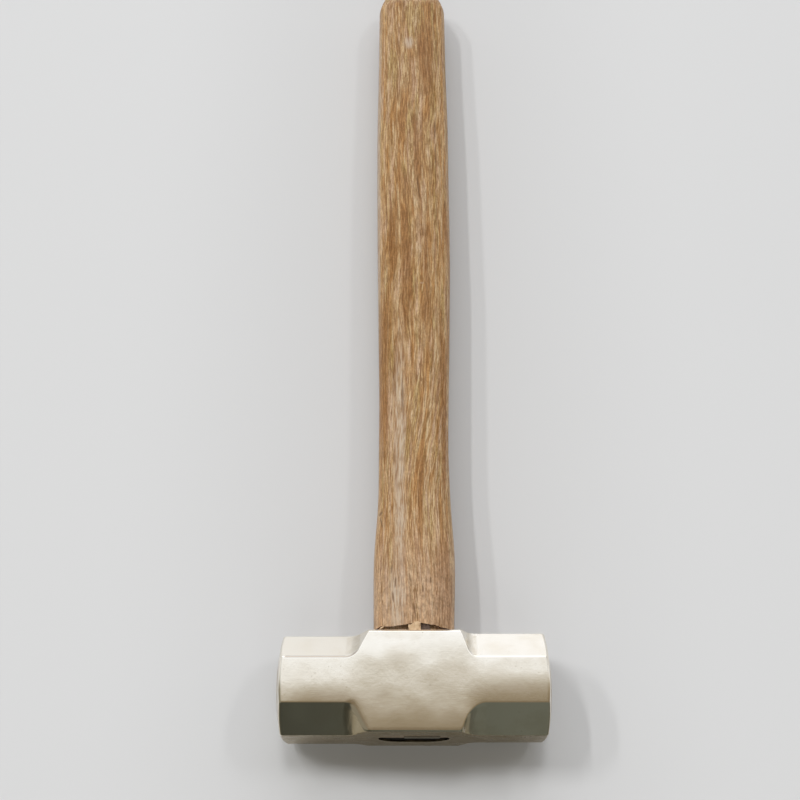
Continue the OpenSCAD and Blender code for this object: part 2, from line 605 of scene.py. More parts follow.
class Grain(Enum):
    """Patterns drawn out along the fibres, from the single threads to the broad bands."""

    THREAD = Pattern((0.42, 7.5, 0.42), 2, 0.55, 1.3)
    PORES = Pattern((0.42, 6.0, 0.42), 1, 0.5, 2.7)
    LINES = Pattern((0.7, 26, 0.7), 1, 0.5, 12.4)
    STREAK = Pattern((0.85, 20, 0.85), 2, 0.6, 3.9)
    HUE = Pattern((1.9, 34, 1.9), 2, 0.55, 5.7)
    ROWS = Pattern((2.6, 34, 2.6), 2, 0.5, 7.3)
    STRAND = Pattern((2.6, 60, 2.6), 2, 0.5, 6.1)
    BROAD = Pattern((7.5, 90, 7.5), 2, 0.5, 8.8)


@dataclass(frozen=True)
class Layer:
    """A colour that shows where a pattern of the grain is strong or weak.

    Attributes:
        grain: the pattern.
        share: share of the colour by what the pattern gives.
        colour: the colour.
    """

    grain: Grain
    share: Span
    colour: Colour


@dataclass(frozen=True)
class Timber(Finish):
    """Open-pored oak under worn varnish, with a short, wavy, leaning grain, painted light on its
    two sides and painted sheen.

    Attributes:
        light: colour of the lightest fibres.
        pale: colour of the late, dense wood.
        warm: colour of the wood between.
        deep: colour of the early, open wood.
        pore: colour inside a pore.
        line: colour of the long dark lines.
        amber: colour of the orange streaks.
        olive: colour of the greenish streaks.
        rose: colour of the pinkish strands.
        scuff_and_sheen: colour of scuffed fibres, also used for the painted sheen.
        crack: colour inside a fleck or crack.
        shaded: what a sunken fibre multiplies its colour by.
        lit: what a raised fibre multiplies its colour by.
        worn: what the wood near the head multiplies its colour by, the lighter tint.
        butt_tint: what the rest of it multiplies its colour by, darker towards the butt.
        side_light: painted light: what the wood at the two sides multiplies its colour by,
            lighter, to make up for their shade.
        bands: broad darker bands.
        flecks: small dark flecks and cracks.
        scuffs_and_sheen: pale scuffed places, and painted highlights: a streak left of the middle
            and a strip along the left side stand for the varnish's sheen.
        drift: pattern of the grain's slow wandering.
        sway: pattern of its short waves.
        grit: pattern of the fine dirt.
        blotch: pattern of the blotches near the head.
        drift_by: how far the grain wanders.
        sway_by: how far it waves.
        wobble_by: how far the strands shift the edge of a band, a scuff or the painted sheen.
        band_soft: how softly a band ends, as a share of its size.
        fleck_soft: how softly a fleck ends.
        scuff_soft: how softly the scuffs and the painted sheen end.
        lean_x: share of the grain's lean across the handle.
        lean_y: how far it has leant over along the handle.
        upper: how the marks come in on the handle's upper half.
        middle_x: place of the handle's middle line.
        by_strand: share of the pale wood by the strands.
        banded: share of the deep colour in a band by the streaks.
        tint_y: how the colour darkens from the tint near the head to that towards the butt.
        lit_side_x: how the painted light on the two sides comes in across the handle.
        rose_y: share of the rose colour along the handle.
        near_y: how what is near the head comes in.
        threaded: share of the lit colour by the threads.
        near_calm: share of the threads' contrast that is lost near the head.
        blotched: shade of the blotches.
        lined: share of the dark lines.
        gritty: shade of the grit.
        open_at: where a pore opens, by the rows.
        open_soft: how softly it opens.
        pore_share: most of the pores' colour.
        scuff_sheen_share: share of the colour of the scuffs and the painted sheen by the threads.
        fleck_share: most of the flecks' colour.
        rough: roughness by the streaks.
        streak_height: height of the streaks beside that of the threads.
        depth: depth of the relief.
        relief: share of it that shows.
        specular: specular level of the wood under the varnish.
        varnish: weight of the varnish.
        varnish_rough: its roughness.
        scuff_shine: what the scuffs and the painted sheen add to its weight.
    """

    name: str = "varnished_oak"
    light: Colour = (0.550, 0.425, 0.275)
    pale: Colour = (0.460, 0.315, 0.168)
    warm: Colour = (0.400, 0.242, 0.106)
    deep: Colour = (0.275, 0.135, 0.044)
    pore: Colour = (0.190, 0.090, 0.028)
    line: Colour = (0.195, 0.095, 0.034)
    amber: Colour = (0.370, 0.190, 0.062)
    olive: Colour = (0.390, 0.275, 0.110)
    rose: Colour = (0.480, 0.330, 0.225)
    scuff_and_sheen: Colour = (0.490, 0.395, 0.300)
    crack: Colour = (0.11, 0.055, 0.022)
    shaded: Colour = (0.75, 0.67, 0.55)
    lit: Colour = (1.23, 1.27, 1.33)
    worn: Colour = (0.920, 0.900, 0.885)
    butt_tint: Colour = (0.87, 0.835, 0.780)
    side_light: Colour = (1.27, 1.29, 1.33)
    bands: tuple[GrainMark, ...] = (
        GrainMark(-3.0, 196.0, 2.2, 36.0),
        GrainMark(7.2, 193.0, 1.3, 34.0),
        GrainMark(-9.8, 214.0, 1.8, 20.0),
        GrainMark(-13.4, 146.0, 2.6, 42.0),
        GrainMark(14.2, 128.0, 1.7, 44.0),
        GrainMark(13.2, 42.0, 3.4, 22.0),
        GrainMark(3.4, 90.0, 1.3, 28.0, 0.05),
        GrainMark(-7.8, 146.0, 0.9, 16.0),
        GrainMark(16.4, 229.0, 1.3, 12.0),
        GrainMark(8.0, 328.0, 4.0, 26.0, -0.05),
        GrainMark(3.0, 262.0, 1.2, 30.0, -0.05),
    )
    flecks: tuple[GrainMark, ...] = (
        GrainMark(-9.6, 49.5, 0.35, 2.2, 0.1),
        GrainMark(-7.9, 43.5, 0.40, 2.4, 0.1),
        GrainMark(-8.9, 37.0, 0.45, 2.2, -0.1),
        GrainMark(-1.6, 45.5, 0.45, 1.9, -0.15),
        GrainMark(7.4, 44.5, 0.40, 1.5),
        GrainMark(4.0, 40.5, 0.45, 1.6),
        GrainMark(0.5, 30.5, 0.22, 3.4, -0.12),
        GrainMark(-1.5, 38.0, 0.20, 3.0, -0.1),
        GrainMark(-14.6, 76.5, 0.80, 0.9, 0.5),
        GrainMark(-14.2, 72.0, 0.35, 2.6, -0.2),
        GrainMark(-4.9, 134.0, 0.35, 9.0),
        GrainMark(12.0, 282.0, 0.40, 6.0),
        GrainMark(12.3, 266.0, 0.35, 7.0),
        GrainMark(3.4, 246.0, 0.45, 7.0, -0.10),
    )
    scuffs_and_sheen: tuple[GrainMark, ...] = (
        # painted highlight: the varnish's highlight streak left of the middle, in this mark and
        # the next
        GrainMark(-6.2, 100.0, 2.4, 58.0),
        GrainMark(-7.6, 36.0, 3.6, 13.0),
        GrainMark(-1.2, 338.5, 2.3, 3.2),
        GrainMark(4.6, 192.0, 0.9, 0.5),
        # painted sheen: the pale strip along the handle's left side
        GrainMark(-16.7, 255.0, 0.9, 80.0),
    )
    drift: Pattern = Pattern((30, 90, 30), 1, 0.5, 4.0)
    sway: Pattern = Pattern((5, 18, 5), 1, 0.5, 2.2)
    grit: Pattern = Pattern((0.6, 1.1, 0.6), 1, 0.5, 9.1)
    blotch: Pattern = Pattern((1.5, 2.4, 1.5), 2, 0.6, 3.3)
    drift_by: float = 5.0
    sway_by: float = 0.7
    wobble_by: float = 5.0
    band_soft: float = 0.45
    fleck_soft: float = 0.35
    scuff_soft: float = 0.7
    lean_x: Span = Span(-13.0, 16.0)
    lean_y: Span = Span(78.0, 165.0, 0.0, -8.0)
    upper: Span = Span(AXIS_Z, AXIS_Z + 4.0)
    middle_x: float = 0.6
    by_strand: Span = Span(0.38, 0.62)
    banded: Span = Span(0.40, 0.60, 0.95, 0.70)
    tint_y: Span = Span(110.0, 200.0)
    lit_side_x: Span = Span(11.0, 16.5)
    rose_y: Span = Span(80.0, 35.0, 0.0, 0.5)
    near_y: Span = Span(66.0, 38.0)
    threaded: Span = Span(0.37, 0.63)
    near_calm: float = 0.45
    blotched: Span = Span(0.35, 0.65, 0.84, 1.15)
    lined: Span = Span(0.60, 0.70, 0.0, 0.6)
    gritty: Span = Span(0.3, 0.7, 0.89, 1.11)
    open_at: Span = Span(0.42, 0.62, 0.66, 0.575)
    open_soft: float = 0.06
    pore_share: float = 0.7
    scuff_sheen_share: Span = Span(0.38, 0.62, 0.20, 0.80)
    fleck_share: float = 0.6
    rough: Span = Span(0.2, 0.8, 0.45, 0.65)
    streak_height: float = 1.5
    depth: float = 0.07
    relief: float = 0.7
    specular: float = 0.12
    varnish: float = 0.35
    varnish_rough: float = 0.25
    scuff_shine: float = 0.3

    def layers(self) -> tuple[Layer, ...]:
        """Colours that lie over the warm and pale wood.

        Returns:
            The layers, in turn.
        """
        return (
            Layer(Grain.BROAD, Span(0.54, 0.70, 0.0, 0.4), self.deep),
            Layer(Grain.HUE, Span(0.52, 0.63, 0.0, 0.65), self.rose),
            Layer(Grain.HUE, Span(0.48, 0.37, 0.0, 0.75), self.amber),
            Layer(Grain.ROWS, Span(0.54, 0.65, 0.0, 0.65), self.olive),
            Layer(Grain.STREAK, Span(0.47, 0.33, 0.0, 0.7), self.deep),
            Layer(Grain.STREAK, Span(0.54, 0.68, 0.0, 0.6), self.light),
        )

    def fibres(self, nodes: Nodes, place: Socket) -> dict[Grain, Socket]:
        """Lay every pattern of the grain along the leaning, wandering fibres.

        Args:
            nodes: the tree.
            place: the place in millimetres.

        Returns:
            What each pattern gives.
        """
        x, y, z = nodes.parts(place)
        lean = nodes.times(nodes.span(x, self.lean_x), nodes.span(y, self.lean_y))
        aside = nodes.math("ADD", x, lean)
        for pattern, far in ((self.drift, self.drift_by), (self.sway, self.sway_by)):
            aside = nodes.math("MULTIPLY_ADD", nodes.noise(place, pattern), far, aside)
        fibre = nodes.add("CombineXYZ", aside, y, z).outputs[0]
        return {grain: nodes.noise(fibre, grain.value) for grain in Grain}

    def marks(self, nodes: Nodes, x: Socket, y: Socket, marks: Sequence[GrainMark],
              soft: float) -> Socket:
        """Mask of a few marks.

        Args:
            nodes: the tree.
            x: place across the handle.
            y: place along the handle.
            marks: the marks.
            soft: how softly they end, as a share of their size.

        Returns:
            A value from 0 to 1.
        """
        mask: object = 0.0
        for mark in marks:
            along = nodes.math("SUBTRACT", y, mark.y)
            aside = nodes.math("SUBTRACT", x, mark.x)
            aside = nodes.math("MULTIPLY_ADD", along, -mark.lean, aside)
            aside = nodes.math("POWER", nodes.math("DIVIDE", aside, mark.half_width), 2.0)
            along = nodes.math("POWER", nodes.math("DIVIDE", along, mark.half_length), 2.0)
            reach = nodes.math("SQRT", nodes.math("ADD", aside, along))
            shown = nodes.span(reach, Span(1.0 + soft, 1.0 - soft))
            mask = nodes.math("MAXIMUM", mask, shown)
        return mask

    def lay(self, nodes: Nodes) -> None:
        """Lay the finish's nodes.

        Args:
            nodes: the empty tree.
        """
        place = nodes.place()
        x, y, z = nodes.parts(place)
        grains = self.fibres(nodes, place)
        thread, streak, strand = grains[Grain.THREAD], grains[Grain.STREAK], grains[Grain.STRAND]
        grit = nodes.noise(place, self.grit)

        wobble = nodes.times(nodes.math("SUBTRACT", strand, 0.5), self.wobble_by)
        wavy = nodes.math("ADD", x, wobble)
        upper = nodes.span(z, self.upper)
        bands, flecks, scuffs_and_sheen = (
            nodes.times(self.marks(nodes, across, y, marks, soft), upper)
            for across, marks, soft in ((wavy, self.bands, self.band_soft),
                                        (x, self.flecks, self.fleck_soft),
                                        (wavy, self.scuffs_and_sheen, self.scuff_soft)))

        colour = nodes.mix(nodes.span(strand, self.by_strand), self.warm, self.pale)
        for layer in self.layers():
            colour = nodes.mix(nodes.span(grains[layer.grain], layer.share), colour, layer.colour)
        colour = nodes.mix(nodes.times(bands, nodes.span(streak, self.banded)), colour, self.deep)
        # Darker towards the butt.
        colour = nodes.tint(colour, nodes.mix(nodes.span(y, self.tint_y), self.worn, self.butt_tint))
        # Painted light: the handle's two sides are made lighter, in place of light that their
        # curve turns away from.
        side = nodes.math("ABSOLUTE", nodes.math("SUBTRACT", x, self.middle_x))
        colour = nodes.tint(colour, nodes.mix(nodes.span(side, self.lit_side_x), WHITE, self.side_light))
        colour = nodes.mix(nodes.span(y, self.rose_y), colour, self.rose)
        near = nodes.span(y, self.near_y)
        shade = nodes.mix(nodes.span(thread, self.threaded), self.shaded, self.lit)
        shade = nodes.mix(nodes.times(near, self.near_calm), shade, WHITE)
        colour = nodes.tint(colour, shade)
        blotch = nodes.span(nodes.noise(place, self.blotch), self.blotched)
        colour = nodes.tint(colour, nodes.mix(near, WHITE, blotch))
        colour = nodes.mix(nodes.span(grains[Grain.LINES], self.lined), colour, self.line)
        colour = nodes.tint(colour, nodes.span(grit, self.gritty))
        open_at = nodes.span(grains[Grain.ROWS], self.open_at)
        open_to = nodes.math("ADD", open_at, self.open_soft)
        dot = nodes.span(grains[Grain.PORES], Span(open_at, open_to))
        colour = nodes.mix(nodes.times(dot, self.pore_share), colour, self.pore)
        # Scuffs, and pale painted highlights that stand for the varnish's sheen.
        scuff_sheen_share = nodes.times(scuffs_and_sheen, nodes.span(thread, self.scuff_sheen_share))
        colour = nodes.mix(scuff_sheen_share, colour, self.scuff_and_sheen)
        colour = nodes.mix(nodes.times(flecks, self.fleck_share), colour, self.crack)

        height = nodes.math("ADD", thread, grit)
        height = nodes.math("MULTIPLY_ADD", streak, self.streak_height, height)
        height = nodes.math("SUBTRACT", height, nodes.math("ADD", dot, flecks))
        relief = nodes.bump(height, self.depth, self.relief)
        coat = nodes.math("MULTIPLY_ADD", scuffs_and_sheen, self.scuff_shine, self.varnish)
        nodes.surface(Base_Color=colour, Roughness=nodes.span(streak, self.rough), Normal=relief,
                      Specular_IOR_Level=self.specular, Coat_Weight=coat,
                      Coat_Roughness=self.varnish_rough, Coat_Normal=relief)


@dataclass(frozen=True)
class PaleFloor(Finish):
    """Plain pale floor with painted shade round the hammer, which mirrors show only as far as its
    front edge.

    Attributes:
        colour: its colour.
        middle: its colour round the hammer, darker: painted shade of the hammer.
        near: what mirrors show just past the front edge.
        near_right: what they show there to the right.
        far: what they show farther out.
        edge_y: place of the front edge straight in front of the hammer.
        edge_slope: how far the edge runs towards +Y for each millimetre along +X.
        aside: share of the floor's own colour, against the painted shade, by the distance to
            either side.
        right: how near goes over to near_right.
        left: how far goes over to near, to the left.
        farther: how what mirrors show goes from near to far past the edge.
        edge_soft: how softly the edge shows.
        rough: roughness of the floor, and of what mirrors show of it.
        gloss: its specular level, and that of what mirrors show of it.
    """

    name: str = "pale_floor"
    colour: Colour = (0.632, 0.637, 0.645)
    middle: Colour = (0.580, 0.583, 0.589)
    near: Colour = (0.265, 0.24, 0.178)
    near_right: Colour = (0.20, 0.185, 0.14)
    far: Colour = (0.075, 0.075, 0.060)
    edge_y: float = -32.0
    edge_slope: float = 0.06
    aside: Span = Span(20.0, 150.0)
    right: Span = Span(30.0, 65.0)
    left: Span = Span(-150.0, -300.0)
    farther: Span = Span(35.0, 60.0)
    edge_soft: Span = Span(-3.0, 3.0)
    rough: Span = Span(0.0, 1.0, 0.45, 0.16)
    gloss: Span = Span(0.0, 1.0, 0.4, 1.0)

    def lay(self, nodes: Nodes) -> None:
        """Lay the finish's nodes.

        Args:
            nodes: the empty tree.
        """
        x, y, _ = nodes.parts(nodes.place())
        edge = nodes.math("MULTIPLY_ADD", x, self.edge_slope, self.edge_y)
        past = nodes.math("SUBTRACT", edge, y)
        # Painted shade: the floor is darker within a band round the hammer.
        aside = nodes.span(nodes.math("ABSOLUTE", x), self.aside)
        colour = nodes.mix(aside, self.middle, self.colour)
        near = nodes.mix(nodes.span(x, self.right), self.near, self.near_right)
        far = nodes.mix(nodes.span(x, self.left), self.far, self.near)
        shown = nodes.mix(nodes.span(past, self.farther), near, far)
        shown = nodes.mix(nodes.span(past, self.edge_soft), colour, shown)
        mirrored = nodes.add("LightPath").outputs["Is Glossy Ray"]
        nodes.surface(Base_Color=nodes.mix(mirrored, colour, shown),
                      Roughness=nodes.span(mirrored, self.rough),
                      Specular_IOR_Level=nodes.span(mirrored, self.gloss))


class Loft:
    """A closed skin that is drawn ring by ring along an axis."""

    def __init__(self, points: Sequence[Vector]) -> None:
        """Start the skin.

        Args:
            points: the first ring of points.
        """
        self.bm: BMesh = bmesh.new()
        made = bmesh.ops.create_circle(self.bm, cap_ends=False, segments=len(points), radius=1)
        self.ring: list[BMVert] = list(made["verts"])
        self.first = self.ring
        self.put(points)

    def put(self, points: Sequence[Vector]) -> None:
        """Move the ring in hand to these points."""
        for vert, point in zip(self.ring, points):
            vert.co = point

    def edges(self, ring: Sequence[BMVert]) -> list[bmesh.types.BMEdge]:
        """Return the edges round a ring."""
        return [self.bm.edges.get(pair) for pair in zip(ring, [*ring[1:], ring[0]])]

    def step(self, points: Sequence[Vector]) -> None:
        """Draw the skin on.

        Args:
            points: the next ring of points.
        """
        made = bmesh.ops.extrude_edge_only(self.bm, edges=self.edges(self.ring))
        new = {v for v in made["geom"] if isinstance(v, BMVert)}
        self.ring = [
            next(e.other_vert(v) for e in v.link_edges if e.other_vert(v) in new)
            for v in self.ring
        ]
        self.put(points)

    def close(self) -> BMesh:
        """Close both ends with a fan of faces.

        Returns:
            The mesh, its faces outwards.
        """
        for ring in (self.first, self.ring):
            cap = bmesh.ops.contextual_create(self.bm, geom=[*ring, *self.edges(ring)])
            bmesh.ops.poke(self.bm, faces=cap["faces"])
        bmesh.ops.recalc_face_normals(self.bm, faces=self.bm.faces)
        return self.bm


def loft(rings: Sequence[Sequence[Vector]]) -> BMesh:
    """Draw a closed skin.

    Args:
        rings: the rings of points that it runs through, in order.

    Returns:
        The skin.
    """
    skin = Loft(rings[0])
    for ring in rings[1:]:
        skin.step(ring)
    return skin.close()


def mesh_object(bm: BMesh, name: str, finishes: Sequence[Finish]) -> bpy.types.Object:
    """Make an object of a mesh, still in millimetres.

    Args:
        bm: the mesh, which is used up.
        name: name of the object.
        finishes: its finishes, in the order of its faces' material numbers.

    Returns:
        The object, linked to the scene.
    """
    mesh = bpy.data.meshes.new(name)
    bm.to_mesh(mesh)
    bm.free()
    made = bpy.data.objects.new(name, mesh)
    bpy.context.scene.collection.objects.link(made)
    for finish in finishes:
        mesh.materials.append(finish.material())
    return made


def cut(body: BMesh, tool: BMesh) -> BMesh:
    """Cut one closed mesh out of another.

    Args:
        body: the mesh that is cut, which is used up.
        tool: the mesh that cuts, which is used up.

    Returns:
        The new mesh.
    """
    block, knife = mesh_object(body, "block", ()), mesh_object(tool, "knife", ())
    boolean = block.modifiers.new("cut", "BOOLEAN")
    boolean.object, boolean.operation, boolean.solver = knife, "DIFFERENCE", "EXACT"
    graph = bpy.context.evaluated_depsgraph_get()
    result = bmesh.new()
    result.from_object(block, graph)
    for used in (block, knife):
        mesh = used.data
        bpy.data.objects.remove(used)
        bpy.data.meshes.remove(mesh)
    bmesh.ops.remove_doubles(result, verts=result.verts, dist=MERGE)
    bmesh.ops.triangulate(result, faces=[f for f in result.faces if len(f.verts) > 4])
    return result


def finish_piece(bm: BMesh, name: str, finishes: Sequence[Finish],
                 stands_for: Sequence[str] = (), crisp_deg: float = 38.0) -> bpy.types.Object:
    """Bring a mesh to metres and make it a piece that rides on the hammer.

    Args:
        bm: the mesh in millimetres, which is used up.
        name: name of the piece.
        finishes: its finishes, in the order of its faces' material numbers.
        stands_for: solids that it is shown in place of.
        crisp_deg: angle above which an edge is shaded sharp.

    Returns:
        The piece.
    """
    bmesh.ops.scale(bm, vec=(MM,) * 3, verts=bm.verts)
    piece = mesh_object(bm, name, finishes)
    piece.data.polygons.foreach_set("use_smooth", [True] * len(piece.data.polygons))
    piece.data.set_sharp_from_angle(angle=math.radians(crisp_deg))
    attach(piece, BODY)
    if stands_for:
        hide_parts(*stands_for)
    LOG.info("%s: %d faces", name, len(piece.data.polygons))
    return piece


def displace(bm: BMesh, rule: Callable[[Vector, Vector], Vector]) -> None:
    """Move every point of a mesh.

    Args:
        bm: the mesh.
        rule: gives a point's move from its place and its normal.
    """
    bm.normal_update()
    moves = [rule(v.co, v.normal) for v in bm.verts]
    for vert, move in zip(bm.verts, moves):
        vert.co += move
    bm.normal_update()


def mark_edges(bm: BMesh, full_deg: float) -> None:
    """Keep on each point how sharply the surface turns there.

    Args:
        bm: the mesh.
        full_deg: turn between two faces that counts as 1, or -1 in a hollow.
    """
    layer = bm.verts.layers.float.new("edge")
    full = math.radians(full_deg)
    for vert in bm.verts:
        turns = [e.calc_face_angle_signed(0.0) for e in vert.link_edges]
        turn = max(turns, key=abs, default=0.0)
        vert[layer] = max(-1.0, min(1.0, turn / full))


class Corner(Enum):
    """The head's four long corners, as the signs of y and z that they point to."""

    UPPER_HANDLE = (1, 1)
    UPPER_TOP = (-1, 1)
    LOWER_TOP = (-1, -1)
    LOWER_HANDLE = (1, -1)


@dataclass(frozen=True)
class RunOut:
    """How a corner chamfer runs out into the square block.

    Attributes:
        crest_x: distance from the head's middle to the crest.
        wall_deg: slope of the wall between the chamfer and the crest.
        hollow_r: radius of the hollow at the foot of the wall.
        crest_r: radius of the crest.
        side_share: leg on the head's side as a share of the leg on its cheek.
    """

    crest_x: float = 19.5
    wall_deg: float = 56.0
    hollow_r: float = 4.5
    crest_r: float = 2.5
    side_share: float = 1.0

    def height(self, reach: float, full: float) -> float:
        """Height of the corner above the chamfer's flat.

        Args:
            reach: distance from the head's middle.
            full: height of the square corner.

        Returns:
            The height, from 0 on the chamfer to full in the block.
        """
        wall = math.radians(self.wall_deg)
        run = full / math.tan(wall)
        hollow_x = self.crest_x + run + self.hollow_r * math.tan(wall / 2)
        crest_x = self.crest_x - self.crest_r * math.tan(wall / 2)
        if reach >= hollow_x:
            return 0.0
        if reach >= hollow_x - self.hollow_r * math.sin(wall):
            return self.hollow_r - math.sqrt(self.hollow_r ** 2 - (hollow_x - reach) ** 2)
        if reach >= crest_x + self.crest_r * math.sin(wall):
            return (self.crest_x + run - reach) * math.tan(wall)
        if reach >= crest_x:
            return full - self.crest_r + math.sqrt(self.crest_r ** 2 - (reach - crest_x) ** 2)
        return full


@dataclass(frozen=True)
class Roll:
    """How the flat upper cheek rolls over towards -Y.

    Attributes:
        start: where it starts to roll over.
        stop: where it goes on straight.
        slope: its slope from there on.
        slant: how far both places run towards +Y for each millimetre along +X.
        reach: how far from the middle they run so.
    """

    start: float
    stop: float
    slope: float
    slant: float = 0.0
    reach: float = 15.0

    def fall(self, point: Vector) -> float:
        """How far the surface has fallen.

        Args:
            point: the place.

        Returns:
            The fall along z.
        """
        y = point.y - self.slant * max(-self.reach, min(self.reach, point.x))
        if y >= self.start:
            return 0.0
        if y >= self.stop:
            return self.slope * (self.start - y) ** 2 / (2 * (self.start - self.stop))
        return self.slope * ((self.start - self.stop) / 2 + self.stop - y)


@dataclass(frozen=True)
class HandWork:
    """How grinding and polishing by hand left the head's surface.

    Attributes:
        broad: its broad unevenness, which is doubled on the block.
        small: its small unevenness.
        small_more: how much more of the small one the block has.
        ground_off: how much was ground off everywhere.
        block_x: distances from the middle between which the block gives way to the ends.
        calm_x: distances to the left between which the left end gets calmer.
        calm_share: share of the broad unevenness that it loses.
        block_rolls: how the upper cheek rolls over on the block.
        left_rolls: how it rolls over on the left end.
        right_rolls: how it rolls over on the right end.
        flat_x: distances to the left between which the left end's roll gets flatter.
        flat_share: share of the roll that it loses.
        cheek_z: heights between which the upper cheek's roll comes in.
    """

    broad: Wave = Wave((22, 15, 22), 3.7, 0.03)
    small: Wave = Wave((7, 9, 7), 8.1, 0.010)
    small_more: float = 1.6
    ground_off: float = 0.03
    block_x: Point2 = (19, 30)
    calm_x: Point2 = (44, 52)
    calm_share: float = 0.7
    block_rolls: tuple[Roll, ...] = (Roll(16.0, 9.5, 0.018, 0.2), Roll(-12.0, -20.0, 0.021, 0.1))
    left_rolls: tuple[Roll, ...] = (Roll(21.0, 9.0, 0.004), Roll(0.6, -9.5, 0.039))
    right_rolls: tuple[Roll, ...] = (Roll(12.0, 6.0, 0.005), Roll(3.2, -9.5, 0.048))
    flat_x: Point2 = (43, 54)
    flat_share: float = 0.45
    cheek_z: Point2 = (33, 41)

    def move(self, point: Vector, normal: Vector) -> Vector:
        """How far the work moved a point.

        Args:
            point: the point.
            normal: the surface's normal there.

        Returns:
            The move.
        """
        block = 1 - between(*self.block_x, abs(point.x))
        calm = 1 - self.calm_share * between(*self.calm_x, -point.x)
        broad = self.broad.at(point) * (1 + block) * calm
        small = self.small.at(point) * (1 + self.small_more * block)
        drop = Vector((0, 0, self.cheek_drop(point, block)))
        return normal * (broad + small - self.ground_off) - drop

    def cheek_drop(self, point: Vector, block: float) -> float:
        """How far the upper cheek falls away towards the head's top side.

        Args:
            point: the point.
            block: 1 in the square block and 0 on the chamfered ends.

        Returns:
            The fall.
        """
        rolls = self.left_rolls if point.x < 0 else self.right_rolls
        flatter = 1 - self.flat_share * between(*self.flat_x, -point.x)
        middle = sum(roll.fall(point) for roll in self.block_rolls)
        end = sum(roll.fall(point) for roll in rolls) * flatter
        return (middle * block + end * (1 - block)) * between(*self.cheek_z, point.z)


